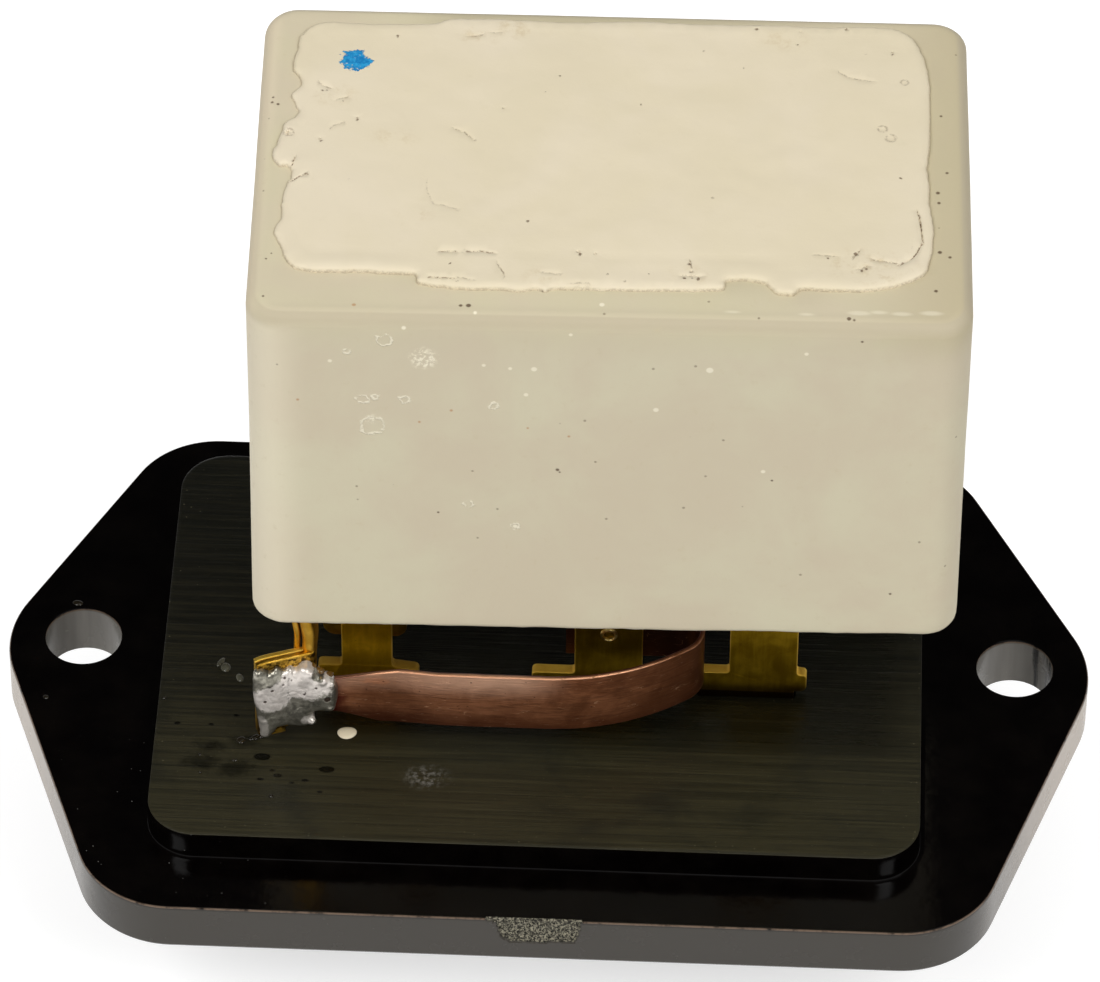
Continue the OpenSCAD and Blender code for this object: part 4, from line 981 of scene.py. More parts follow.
# The cement's edge, on the block's own axes from its middle
CEMENT_EDGE = [(-19.5, 12.1), (-19.93, 11.4), (-20.0, 10.4), (-20.18, 9.3), (-20.2, 8.4), (-19.86, 7.7),
               (-19.62, 7.1), (-19.92, 6.5), (-20.2, 6.0), (-20.05, 5.4), (-19.72, 4.6), (-19.78, 4.1),
               (-20.1, 3.75), (-20.5, 3.3), (-20.68, 2.5), (-20.86, 1.6), (-21.12, 0.6), (-21.02, -0.2),
               (-20.62, -0.6), (-20.15, -0.62), (-19.9, -1.0), (-19.92, -1.7), (-20.19, -2.4), (-20.33, -3.4),
               (-20.39, -4.5), (-20.34, -5.4), (-20.62, -6.0), (-20.74, -6.7), (-20.44, -7.4), (-20.17, -8.1),
               (-19.94, -8.9), (-19.49, -9.55), (-18.67, -9.95), (-17.44, -10.04), (-15.32, -10.0),
               (-13.4, -10.1), (-11.98, -10.16), (-11.84, -10.75),
               (-11.50, -11.0), (-10.2, -11.2), (-8.54, -11.4), (-6.8, -11.35), (-5.6, -11.5), (-4.6, -11.3),
               (-3.9, -11.42), (-3.05, -11.2), (0.5, -11.2), (3.0, -11.16), (5.49, -11.1), (6.95, -10.95),
               (7.1, -10.3), (7.9, -10.12), (9.3, -10.3), (9.8, -10.75), (10.2, -11.2), (10.75, -11.3),
               (11.3, -11.2), (11.7, -10.8), (13.2, -10.85), (15.26, -10.84), (16.8, -10.6), (18.01, -10.15),
               (19.2, -9.3), (19.55, -8.2), (19.75, -6.9), (19.85, -5.4), (19.7, -3.81), (19.62, -2.6),
               (19.62, -1.0), (19.52, 0.2), (19.62, 1.1), (19.75, 3.05), (19.79, 7.71), (19.6, 9.8),
               (19.2, 11.4), (18.6, 12.5), (17.6, 13.2), (16.0, 13.36), (13.0, 13.2), (9.8, 13.34),
               (5.31, 13.3), (1.0, 13.4), (-3.0, 13.28), (-7.36, 13.4), (-10.5, 13.3), (-11.6, 12.85),
               (-14.0, 12.8), (-16.2, 12.75), (-17.8, 12.9), (-18.9, 12.65)]

# Hair cracks and scores in the cement, with the depth of each, on the same axes
CRACKS = [([(-19.7, -0.04), (-19.94, -0.82), (-19.96, -2.04)], 0.1),
          ([(-20.6, -2.9), (-20.3, -2.6), (-19.7, -2.0), (-19.12, -1.63)], 0.1),
          ([(-18.46, 6.86), (-17.87, 6.47)], 0.05), ([(-17.26, 5.49), (-16.74, 5.66)], 0.04),
          ([(-17.65, 2.82), (-17.47, 3.05), (-16.87, 3.34)], 0.04),
          ([(-9.9, 2.93), (-9.29, 2.66), (-8.67, 1.96)], 0.05), ([(-9.02, 11.59), (-8.41, 11.73)], 0.05),
          ([(-7.65, 11.99), (-7.27, 12.04)], 0.04), ([(-10.46, -8.27), (-9.49, -8.24)], 0.07),
          ([(-8.68, -8.29), (-8.0, -8.2), (-7.11, -8.35)], 0.07), ([(-11.1, -10.6), (-9.56, -10.7)], 0.08),
          ([(-9.28, -10.57), (-8.38, -10.8)], 0.04),
          ([(-6.94, -9.21), (-6.55, -10.07), (-6.46, -10.49)], 0.05),
          ([(-11.48, -2.02), (-11.38, -3.01), (-10.97, -3.99), (-10.51, -4.08), (-9.68, -4.41)], 0.03),
          ([(18.85, -3.86), (18.99, -4.56), (19.07, -5.65), (19.13, -6.52)], 0.12),
          ([(19.0, -6.9), (18.77, -7.61), (18.47, -8.05), (17.64, -8.73)], 0.09),
          ([(16.09, -8.23), (17.5, -8.52)], 0.06), ([(15.21, -7.49), (14.98, -7.94)], 0.07),
          ([(15.19, -9.12), (15.72, -8.78)], 0.05), ([(14.04, 8.83), (14.64, 8.39), (16.01, 8.04)], 0.04),
          ([(4.89, -8.66), (4.97, -9.3)], 0.06), ([(4.45, -9.97), (5.49, -10.05)], 0.06),
          ([(-4.2, -10.0), (-3.2, -10.1)], 0.04), ([(-2.2, -10.9), (-1.3, -10.8)], 0.04),
          ([(12.6, -7.9), (13.6, -8.0)], 0.04)]
DIMPLES = [(16.78, 3.65, 0.35, 0.05), (17.28, 2.81, 0.4, 0.07), (-20.23, 2.3, 0.42, 0.14),
           (-20.25, 5.9, 0.2, 0.1), (-2.0, -7.98, 0.16, 0.08), (-0.95, -8.11, 0.14, 0.07),
           (-18.24, 1.79, 0.12, 0.06), (-15.99, 3.84, 0.12, 0.06), (-6.91, 4.89, 0.11, 0.05),
           (8.9, 12.75, 0.16, 0.08), (11.69, 12.6, 0.12, 0.06), (14.6, 12.9, 0.17, 0.08),
           (17.49, 10.83, 0.12, 0.06), (4.97, -9.6, 0.15, 0.08), (18.2, 8.0, 0.3, 0.04)]


def smooth_loop(points, cuts):
    """A closed curve through the points."""
    pts = np.array(points)
    out = []
    for i in range(len(pts)):
        a, b, c, d = (pts[(i + k) % len(pts)] for k in (-1, 0, 1, 2))
        for t in np.arange(cuts) / cuts:
            out.append(0.5 * (2 * b + (c - a) * t + (2 * a - 5 * b + 4 * c - d) * t * t
                              + (3 * b - a - 3 * c + d) * t ** 3))
    return np.array(out)


def crack_lines():
    """Groups (places, depth, darkness) along the cracks, with a level line on both sides of each."""
    groups = []
    for line, depth in CRACKS:
        path = []
        for a, b in zip(line, line[1:]):
            a, b = np.array(a), np.array(b)
            n = max(2, int(np.linalg.norm(b - a) / 0.14))
            path += [a + (b - a) * k / n for k in range(n)]
        path = np.array([*path, np.array(line[-1])])
        path += [[0.05 * ripple((x, y, 1), 0.25, 9.0), 0.05 * ripple((x, y, 2), 0.25, 6.0)] for x, y in path]
        ahead = np.gradient(path, axis=0)
        side = np.stack([-ahead[:, 1], ahead[:, 0]], 1) / np.linalg.norm(ahead, axis=1)[:, None]
        width = np.array([0.05 + 0.03 * ripple((x, y, 3), 0.3, 2.0) for x, y in path])[:, None]
        groups.append((path, depth, min(1.0, depth / 0.09)))
        groups += [(path + side * (width + 0.03), 0, 0), (path - side * (width + 0.03), 0, 0)]
    return groups


def dimple_rings():
    """Groups (places, depth, darkness) round the dimples."""
    groups = []
    a = around(10)
    for x, y, r, depth in DIMPLES:
        small = r < 0.2
        groups.append((np.array([(x, y)]), depth, 0.55 if small else 0.1))
        for share, level in ((0.45, 0.8), (0.8, 0.25), (1.15, 0.0)):
            spin = np.stack([np.cos(a + share), np.sin(a + share)], 1)
            shade = 0.55 * level if small else 0.4 * (share == 0.8)
            groups.append((np.array([x, y]) + spin * r * share, depth * level, shade))
    return groups


def make_cement_fill():
    """The cement: a ragged, cracked and dimpled cap over the rim, on a plug that fills the case."""
    proud = cad_box[1].z / MM - CASE_TOP - 0.02
    edge = smooth_loop(CEMENT_EDGE, 7)
    shake = np.array([ripple((x, y, 0), 0.5, 4.0, 3) for x, y in edge])
    edge = inset(edge, (0.07 * shake)[:, None])
    grid = lattice((-21, 21, 0.4), (-12, 14, 0.4), 0.2)
    grid = grid[inside(edge, grid)]
    grid = grid[reach(edge, grid) > 0.75]
    groups = crack_lines() + dimple_rings()
    for group, _, _ in groups:
        for p in group:
            grid = grid[np.linalg.norm(grid - p, axis=1) > 0.2]

    def rows(places, depth, black):
        """Rows of x, y, how far each place is sunk and how dark it is."""
        return np.column_stack([places, np.tile([float(depth), float(black)], (len(places), 1))])

    table = [rows(grid, 0, 0)]
    used = np.zeros((0, 2))
    for group, depth, black in groups:
        good = inside(edge, group) & (reach(edge, group) > 0.12)
        if len(used):
            good &= np.array([np.linalg.norm(used - p, axis=1).min() > 0.025 for p in group])
        used = np.concatenate([used, group[good]])
        table.append(rows(group[good], depth, black))
    # The ring just inside the edge is marked dark, as part of the painted shadow line along it.
    for d in (0.03, 0.09, 0.18, 0.32, 0.52):
        ring = inset(edge, d)
        ring = ring[inside(edge, ring) & (reach(edge, ring) > 0.93 * d)]
        table.append(rows(ring[::2 if d > 0.15 else 1], 0, 0.2 if d < 0.05 else 0))
    table = np.concatenate(table)
    pts, sink, dark = table[:, :2], table[:, 2], table[:, 3]
    cavity = cavity_loop()
    crease = rounded(-19.7, 19.05, -8.4, 12.3, 2.2)

    def height(q, d):
        """Top of the cement above the rim at points that lie d inside its edge."""
        swell = np.array([0.78 + 0.2 * ripple((x, y, 5), 6.0, 7.0) + 0.08 * ripple((x, y, 6), 1.5, 3.0)
                          for x, y in q])
        round_off = np.sqrt(np.clip(1 - (1 - np.clip(d / 0.3, 0, 1)) ** 2, 0, 1))
        lip = 0.12 * np.exp(-((d - 0.7) / 0.4) ** 2)
        seam = 0.16 * np.exp(-(reach(crease, q) / 0.28) ** 2)
        patch = np.array([max(0.0, min(1.0, 0.5 + 1.6 * ripple((x, y, 8), 3.0, 1.0))) for x, y in q])
        return proud * round_off * np.clip(swell + lip - seam * patch, 0.3, 1.0)

    s = Shell()
    brim = s.ring(turned(at_height(edge, CASE_TOP)))
    ledge = np.minimum(edge[:, 1] + CASE_FRONT, CASE_BACK - edge[:, 1])
    drop = np.where(ledge < RIM_R, RIM_R - np.sqrt(np.clip(RIM_R ** 2 - (RIM_R - ledge) ** 2, 0, None)), 0)
    skirt = s.ring(turned(at_height(edge, CASE_TOP - drop - 0.12)))
    s.wall([skirt, brim])
    lifted = turned(at_height(pts, CASE_TOP + height(pts, reach(edge, pts)) + 0.012 - sink))
    s.cap(brim, [], lifted[:, :2], lambda q: lifted)
    neck, foot = (s.ring(turned(at_height(inset(cavity, d), z))) for d, z in (
        (0.04, CASE_TOP - 0.4), (0.3, FLOOR_Z)))
    s.cap(skirt, [neck])
    s.wall([neck, foot])
    s.faces.append(tuple(foot))
    # The skirt and brim carry the painted shadow line, the rest the darkness of cracks and dimples.
    dark_cracks_and_edge_shadow = [0.28] * len(edge) + [0.35] * len(edge) + [*dark] + [0.0] * (2 * len(cavity))
    return s.piece("potting_cement_fill", CEMENT, ["cement_fill"], SOFT, dark_cracks_and_edge_shadow)


# Stamped terminals and leads

def sheet(s, loop, y0, y1, edge=0.08, shape=None, extra=()):
    """A stamped part: an outline in x and z, between two depths, with softened edges."""
    soft = edge * 0.3
    steps = [(edge, y0), (soft, y0 + soft), (0, y0 + edge), (0, y1 - edge), (soft, y1 - soft), (edge, y1)]
    first = len(s.verts)
    rings = []
    for d, y in steps:
        flat = inset(loop, d)
        rings.append(s.ring(np.column_stack([flat[:, 0], np.full(len(flat), y), flat[:, 1]])))
    s.wall(rings)
    inner = np.array(extra, float).reshape(-1, 2)
    for ring, y in ((rings[0], y0), (rings[-1], y1)):
        s.cap(ring, [], inner, lambda q, y=y: [(x, y, z) for x, z in q], axes=(0, 2))
    n = len(loop)
    marks = np.zeros(len(s.verts) - first)
    marks[n:5 * n] = 1.0
    if shape:
        for k in range(first, len(s.verts)):
            s.verts[k] = shape(s.verts[k])
    return marks


def terminal(name, node, finish, x, foot_w, stem_w, stem_x, lift, top, bend=0.0):
    """A stamping with a blade below, a foot on the pad and a stem. bend turns its right ear forward."""
    z = PAD_H + lift
    tip = z - PAD_H - PLATE_T - BLADE_LEN
    full = tip + 1.3
    b, f, w = BLADE_W / 2, foot_w / 2, stem_w / 2
    foot_top = z + FOOT_H
    points = [(x - b + 0.9, tip), (x + b - 0.9, tip), (x + b, full), (x + b, z), (x + f, z),
              (x + f, foot_top), (stem_x + w, foot_top), (stem_x + w, top), (stem_x - w, top),
              (stem_x - w, foot_top), (x - f, foot_top), (x - f, z), (x - b, z), (x - b, full)]
    foot_r = min(0.9 if lift else 0.3, (f - b) * 0.6)
    radii = [0.25, 0.25, 0.4, 0.04, foot_r, 0.3, 0.25, 0.15, 0.15, 0.25, 0.3, foot_r, 0.04, 0.4]
    loop = dense(outline(points, radii, 0.08), 1.0)
    mid_y = ROW_Y + SHEET_T / 2
    rise = top - foot_top
    extra = [(stem_x + u * w, foot_top + rise * v) for u in (-0.5, 0, 0.5) for v in (0.2, 0.5, 0.8)]
    extra += [(x + u * b, full + (z - full) * v) for u in (-0.6, 0, 0.6) for v in (0, 0.3, 0.7)]

    def shape(v):
        px, py, pz = v
        if pz < full:
            py = mid_y + (py - mid_y) * (0.4 + 0.6 * (pz - tip) / (full - tip))
        if bend and px > stem_x + w and pz > z - 0.1:
            py -= (px - stem_x - w) * math.tan(bend)
        return px, py, pz

    s = Shell()
    cut = sheet(s, loop, ROW_Y, ROW_BACK, shape=shape, extra=extra)
    return s.piece(name, finish, [node], crease=40, marks=cut)


def make_terminals():
    """The three terminals, and the two block leads that stand behind their stems."""
    wide_w, wide_stem = 7.9, 4.45
    offset = wide_w / 2 - 0.65 - wide_stem / 2
    terminal("left_terminal_blade", "left_terminal", LEFT_BRASS_PAINTED_LIGHT, LEFT_X, 6.65, 3.3, LEFT_X - 0.1, 0,
             STEM_TOP, math.radians(8))
    terminal("middle_terminal_blade", "middle_terminal", TERMINAL_BRASS, MIDDLE_X, wide_w, wide_stem,
             MIDDLE_X + offset, 0, STRIP_Z + STRIP_W + 0.6)
    terminal("right_terminal_blade", "right_terminal", TERMINAL_BRASS, RIGHT_X, wide_w, wide_stem,
             RIGHT_X + offset, 0.55, STEM_TOP)

    s = Shell()
    tab_x, foot, shoulder = LEFT_X - 0.25, PAD_H + 3.6, CASE_Z - 3
    low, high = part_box("rear_cap_left")
    neck = (low.x + high.x) / 2 / MM
    points = [(tab_x - 2.75, foot), (tab_x + 2.75, foot), (tab_x + 2.75, shoulder - 2.6),
              (neck + 1.2, shoulder - 2.4), (neck + 1.2, LEAD_TOP), (neck - 1.2, LEAD_TOP),
              (neck - 1.2, shoulder), (tab_x - 2.75, shoulder)]
    loop = dense(outline(points, [0.9, 0.9, 0.3, 0.3, 0.1, 0.1, 0.3, 0.6], 0.08), 1.5)
    sheet(s, loop, ROW_BACK, ROW_BACK + LEAD_T)
    s.piece("left_block_lead", BLOCK_LEAD_BRASS, ["left_lead"], crease=40)
    s = Shell()
    x, w = RIGHT_X + offset, wide_stem / 2 - 0.05
    loop = dense(rounded(x - w, x + w, PAD_H + 4.6, LEAD_TOP, 0.15, 0.08), 2.0)
    sheet(s, loop, ROW_BACK, ROW_BACK + LEAD_T)
    s.piece("right_block_lead", BLOCK_LEAD_BRASS, ["right_lead"], crease=40)


# Thermal fuse

def ribbon(s, path, thick, low, high, corner=0.09, plane="xy"):
    """A flat strip along a path. low and high are its edges at each point, across the path's plane."""
    path = np.array(path, float)
    ahead = np.gradient(path, axis=0)
    ahead /= np.linalg.norm(ahead, axis=1)[:, None]
    side = np.stack([ahead[:, 1], -ahead[:, 0]], 1)
    t = thick / 2
    flat = t - corner
    section = []
    for cx, cy, start in ((flat, 1, 0), (-flat, 1, 90), (-flat, 0, 180), (flat, 0, 270)):
        for k in range(4):
            a = math.radians(start + 30 * k)
            section.append((cx + corner * math.cos(a), cy, corner * (math.sin(a) - (1 if cy else -1))))
    flank = [(0.25, 0), (0.5, 0), (0.75, 0), (1, -corner - 0.03)]
    section[8:8] = [(-t, *level) for level in reversed(flank)]
    section += [(t, *level) for level in flank]
    rings = []
    for i, p in enumerate(path):
        ring = []
        for across, share, off in section:
            q = p + side[i] * across
            h = low[i] + (high[i] - low[i]) * share + off
            ring.append((q[0], q[1], h) if plane == "xy" else (q[0], h, q[1]))
        rings.append(s.ring(np.array(ring)))
    s.tube(rings)
    return [(across / t, share == 1 and off > -corner - 0.01) for across, share, off in section] * len(path)


def stations(a, b, step):
    """Evenly spaced places from a to b, both ends included."""
    a, b = np.array(a, float), np.array(b, float)
    n = max(1, math.ceil(np.linalg.norm(b - a) / step))
    return [a + (b - a) * k / n for k in range(n + 1)]


def make_strip():
    """The bowed strip, laid along its fold: tail, tight bend, long sweep, knee and tapered tongue."""
    cos_a = math.cos(SWEEP_ANGLE)
    gap = STRIP_BACK_Y - STRIP_FRONT_Y
    sweep_r = (gap - BEND_R * (1 + cos_a)) / (1 - cos_a)
    bend_x = SWEEP_X + (sweep_r - BEND_R) * math.sin(SWEEP_ANGLE)
    path = stations((TAIL_X, STRIP_BACK_Y), (bend_x, STRIP_BACK_Y), 0.5)[:-1]
    turn = math.pi - SWEEP_ANGLE
    for k in range(29):
        a = math.pi / 2 - turn * k / 28
        path.append(np.array([bend_x + BEND_R * math.cos(a), STRIP_BACK_Y - BEND_R + BEND_R * math.sin(a)]))
    for k in range(1, 25):
        a = -math.pi / 2 + SWEEP_ANGLE * (1 - k / 24)
        path.append(np.array([SWEEP_X + sweep_r * math.cos(a),
                              STRIP_FRONT_Y + sweep_r + sweep_r * math.sin(a)]))
    path += stations((SWEEP_X, STRIP_FRONT_Y), (KNEE_X, STRIP_FRONT_Y), 0.35)[1:]
    path += stations((KNEE_X, STRIP_FRONT_Y), (TONGUE_X, TONGUE_Y), 0.3)[1:]
    path += stations((TONGUE_X, TONGUE_Y), (TONGUE_END, TONGUE_Y), 0.3)[1:]
    path = np.array(path)
    front = path[:, 1] < -8
    path[front] = eased(path, 3)[front]

    def taper(near, far):
        """How far the strip has narrowed at each of its stations, from 0 to 1."""
        t = np.clip((near - path[:, 0]) / (near - far), 0, 1)
        return (t * t * (3 - 2 * t) * 0.35 + t * 0.65) * (path[:, 1] < -10.5)

    wave = np.array([0.03 * ripple((p[0], p[1], 0), 1.3, 2.0, 3) for p in path])
    high = STRIP_Z + STRIP_W - 0.9 * taper(TONGUE_X, TONGUE_X - 4.4) - 0.04 + wave
    low = STRIP_Z + 0.8 * taper(TONGUE_X - 1.2, TONGUE_X - 4) + 0.03 + wave[::-1]
    s = Shell()
    places = ribbon(s, path, STRIP_T, low, high, 0.07)
    # Marks: 1 on the front top edge, for its painted highlight, and -1 on the back top edge, which is painted
    # darker.
    marks = [0.0 if not on_top else -1.0 if across > 0 else 1.0 for across, on_top in places]
    return s.piece("copper_fuse_strip", COPPER, ["fuse_strip"], crease=50, marks=marks)


def make_fuse_lead():
    """The lead that carries the solder: a folded, slanted tab on a riser that leans into the block."""
    s = Shell()
    right = np.array([TONGUE_END + 1.1, TONGUE_Y + STRIP_T / 2 + 0.03 + LEAD_T / 2 / math.cos(TAB_ANGLE)
                      + 1.1 * math.tan(TAB_ANGLE)])
    left = right - TAB_L * np.array([math.cos(TAB_ANGLE), math.sin(TAB_ANGLE)])
    path = stations(left, right, 0.4)
    for k in range(1, 7):
        a = math.pi / 2 * k / 6
        path.append(right + np.array([0.3 * math.sin(a), 0.45 * (1 - math.cos(a)) + 0.05 * k]))
    path = np.array(path)
    top = np.full(len(path), TAB_Z + TAB_H)
    low = TAB_Z + 0.3 + 0.6 * np.clip((path[:, 0] + 16.8) / 1.2, 0, 1)
    top[:2] -= [0.15, 0.04]
    low[:2] += [0.25, 0.06]
    out = np.array([math.sin(TAB_ANGLE), -math.cos(TAB_ANGLE)])
    # The tab is one leaf folded over another, of this thickness
    leaf = 0.38
    # The back leaf's top edge takes the bright cut colour, partly a painted highlight.
    marks = [float(on_top) for _, on_top in ribbon(s, path - 0.06 * out, leaf, low, top, 0.09)]
    hem = path[:-4] + 0.33 * out
    hem_low = np.where(hem[:, 0] < TONGUE_END - 0.25, low[:-4], top[:-4] - 1.3)
    ribbon(s, hem, leaf, hem_low, top[:-4] - 0.02, 0.1)
    # The riser, with a thinner lip on its left that a rib behind joins to it
    front = right[1] - 0.35
    top_z = TAB_Z + TAB_H
    riser_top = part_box("front_cap_left")[0].x / MM - 0.45
    line = [(right[0] + 0.05, top_z - 1.2), (right[0] + 0.02, top_z - 0.1), (right[0] + 0.12, top_z + 1.2),
            (right[0] - 0.1, top_z + 2.4), (right[0] - 0.2, top_z + 3.6), (riser_top, CASE_Z - 1.2),
            (riser_top, 29.4)]
    route = []
    for a, b in zip(line, line[1:]):
        route += stations(a, b, 0.4)[:-1]
    route = eased([*route, np.array(line[-1])], 4)
    back = front + 3.4

    def bar(line, thick, y0, corner):
        """A length of the riser from y0 to its back."""
        ribbon(s, line, thick, np.full(len(line), y0), np.full(len(line), back), corner, "xz")

    bar(route, 0.88, front, 0.3)
    beside = route[(route[:, 1] > top_z - 0.7) & (route[:, 1] < top_z + 4.0)] - [0.79, 0]
    bar(beside, 0.4, front + 0.34, 0.12)
    bar(beside + [0.35, 0], 0.9, back - 0.4, 0.15)
    marks += [0.0] * (len(s.verts) - len(marks))
    return s.piece("folded_fuse_lead", LEAD_BRASS, ["fuse_lead"], crease=50, marks=marks)


# The solder's outline seen from the front, x and z
SOLDER_EDGE = [(-18.6, 9.9), (-18.72, 9.3), (-18.7, 8.1), (-18.6, 6.8), (-18.46, 5.6), (-18.33, 4.4),
               (-18.15, 3.75), (-17.75, 3.7), (-17.45, 3.95), (-17.15, 4.45), (-16.5, 4.4), (-16.0, 4.3),
               (-15.4, 4.35), (-14.95, 4.6), (-14.8, 5.1), (-14.9, 5.6), (-14.45, 5.85), (-13.75, 5.85),
               (-13.4, 6.3), (-13.25, 7.0), (-13.25, 7.9), (-13.45, 8.6), (-13.85, 8.95), (-14.4, 9.0),
               (-14.7, 9.45), (-15.2, 9.75), (-15.6, 9.75), (-15.95, 9.3), (-16.35, 9.7), (-16.75, 9.35),
               (-17.15, 9.85), (-17.6, 9.5), (-18.1, 9.95)]


# Drops that stand out of the lump: x, y, z and radius
SOLDER_DROPS = [(-14.2, -11.62, 8.75, 0.33), (-13.62, -11.5, 8.35, 0.28), (-13.75, -11.55, 6.35, 0.36),
                (-14.95, -11.6, 4.95, 0.3), (-18.0, -11.95, 4.05, 0.36), (-15.0, -11.6, 9.3, 0.3)]


def make_solder_lump():
    """The solder: one soft lump over the tab and the tongue's end, and drops, run together and settled."""
    def tab(x):
        """How far back the metal under the solder lies."""
        past = x + 15.2
        return -10.47 - 0.28 + past * math.tan(TAB_ANGLE) if past < 0 else -10.75 - min(0.3, past * 0.5)

    edge = dense(np.array(SOLDER_EDGE), 0.2)
    grid = lattice((-18.7, -13.2, 0.2), (3.6, 10.2, 0.2))
    grid = grid[inside(edge, grid)]
    grid = grid[reach(edge, grid) > 0.12]

    def front(q):
        deep = reach(edge, q)
        out = []
        for (x, z), d in zip(q, deep):
            swell = 0.26 + 0.42 * math.sqrt(1 - (1 - min(d / 0.85, 1)) ** 2)
            out.append((x, min(tab(x), -11.2) - swell + 0.09 * ripple((x, z, 0), 1.6, 3.0, 1), z))
        return out

    s = Shell()
    face = s.ring(np.array(front(edge)))
    behind = s.ring(np.array([(x, tab(x) + 0.15, z) for x, z in edge]))
    s.wall([face, behind])
    s.cap(face, [], grid, front, axes=(0, 2))
    s.cap(behind, axes=(0, 2))
    bm = bmesh.new()
    for v in s.verts:
        bm.verts.new(Vector(v) * MM)
    bm.verts.ensure_lookup_table()
    for face in s.faces:
        bm.faces.new([bm.verts[k] for k in face])
    bmesh.ops.recalc_face_normals(bm, faces=bm.faces)
    for x, y, z, r in SOLDER_DROPS:
        made = bmesh.ops.create_icosphere(bm, subdivisions=3, radius=r * MM)
        for v in made["verts"]:
            v.co += Vector((x, y, z)) * MM
    mesh = bpy.data.meshes.new("solder_slab")
    bm.to_mesh(mesh)
    bm.free()
    obj = add_object("solder_slab", mesh)
    remesh = obj.modifiers.new("run_together", "REMESH")
    remesh.mode, remesh.voxel_size = "VOXEL", 0.09 * MM
    smooth = obj.modifiers.new("settle", "SMOOTH")
    smooth.factor, smooth.iterations = 0.6, 6
    done = plain_mesh(obj)
    bpy.data.objects.remove(obj)
    for v in done.vertices:
        p = v.co / MM
        crease = max(0.0, 1 - abs(ripple(p, 1.3, 2.0, 1)) / 0.1)
        v.co += v.normal * (0.012 * ripple(p, 0.45, 5.0, 2) - 0.018 * crease) * MM
    done.name = "solder_joint_lump"
    return finish_piece("solder_joint_lump", done, SOLDER, ["fuse_solder"], SOFT)


def make_rivet():
    """A tubular rivet, turned about an axis along y, with a rolled eye in front and a head behind."""
    s = Shell()
    a, (x, z) = around(40), RIVET_AT
    face, back = ROW_Y, ROW_BACK + STRIP_T
    profile = [(0.1, face + 0.34), (0.28, face + 0.3), (0.32, face + 0.2), (0.34, face - 0.08),
               (0.38, face - 0.16), (0.44, face - 0.2), (0.5, face - 0.18), (0.57, face - 0.1),
               (0.6, face - 0.04), (0.58, face), (0.45, face), (0.45, back), (0.9, back), (1.0, back + 0.08),
               (0.97, back + 0.22), (0.8, back + 0.33), (0.3, back + 0.35)]
    s.tube([s.ring(np.column_stack([x + r * np.cos(a), np.full(len(a), y), z + r * np.sin(a)]))
            for r, y in profile])
    return s.piece("fuse_rivet_eyelet", RIVET_BRASS, ["fuse_rivet"], crease=40)


# Wire windings and flux beads, which repeat

def tree_with(name, inputs):
    """A new geometry tree with named inputs, each (name, kind of socket)."""
    tree = bpy.data.node_groups.new(name, "GeometryNodeTree")
    tree.interface.new_socket("Geometry", in_out="INPUT", socket_type="NodeSocketGeometry")
    for label, kind in inputs:
        tree.interface.new_socket(label, in_out="INPUT", socket_type="NodeSocket" + kind)
    tree.interface.new_socket("Geometry", in_out="OUTPUT", socket_type="NodeSocketGeometry")
    return tree


def wire_up(tree, kind, settings=None, sockets=None):
    """Adds a node, with its inputs set to values or linked to other nodes' outputs."""
    node = tree.nodes.new(kind)
    for key, value in (settings or {}).items():
        setattr(node, key, value)
    for key, value in (sockets or {}).items():
        if hasattr(value, "links"):
            tree.links.new(value, node.inputs[key])
        else:
            node.inputs[key].default_value = value
    return node


def close_tree(tree, geometry, material):
    """Ends a tree in Realize Instances, smooth shading and Set Material."""
    real = wire_up(tree, "GeometryNodeRealizeInstances", None, {0: geometry})
    even = wire_up(tree, "GeometryNodeSetShadeSmooth", None, {0: real.outputs[0]})
    painted = wire_up(tree, "GeometryNodeSetMaterial", None, {0: even.outputs[0], "Material": material})
    out = tree.nodes.new("NodeGroupOutput")
    tree.links.new(painted.outputs[0], out.inputs[0])


def run_tree(tree, name, values, verts=((0, 0, 0),)):
    """Runs a tree on a few points and returns the plain mesh."""
    seed = bpy.data.meshes.new(name)
    seed.from_pydata([Vector(v) * MM for v in verts], [], [])
    obj = add_object(name, seed)
    modifier = obj.modifiers.new(name, "NODES")
    modifier.node_group = tree
    for item in tree.interface.items_tree:
        if item.in_out == "INPUT" and item.name in values:
            modifier[item.identifier] = values[item.name]
    obj.update_tag()
    mesh = plain_mesh(obj)
    bpy.data.objects.remove(obj)
    return mesh


def helix_tree():
    """A wire wound on a core that lies along x."""
    tree = tree_with("wire_winding", [("Coil Radius", "Float"), ("Wire Radius", "Float"), ("Length", "Float"),
                                      ("Turns", "Float"), ("Start", "Vector")])
    given = tree.nodes.new("NodeGroupInput").outputs
    spiral = wire_up(tree, "GeometryNodeCurveSpiral", None, {
        "Resolution": 28, "Rotations": given["Turns"], "Start Radius": given["Coil Radius"],
        "End Radius": given["Coil Radius"], "Height": given["Length"]})
    ring = wire_up(tree, "GeometryNodeCurvePrimitiveCircle", None, {
        "Resolution": 10, "Radius": given["Wire Radius"]})
    tube = wire_up(tree, "GeometryNodeCurveToMesh", None, {
        "Curve": spiral.outputs[0], "Profile Curve": ring.outputs[0], "Fill Caps": True})
    laid = wire_up(tree, "GeometryNodeTransform", None, {
        "Geometry": tube.outputs[0], "Translation": given["Start"], "Rotation": Euler((0, math.pi / 2, 0))})
    close_tree(tree, laid.outputs[0], WIRE.material)
    return tree


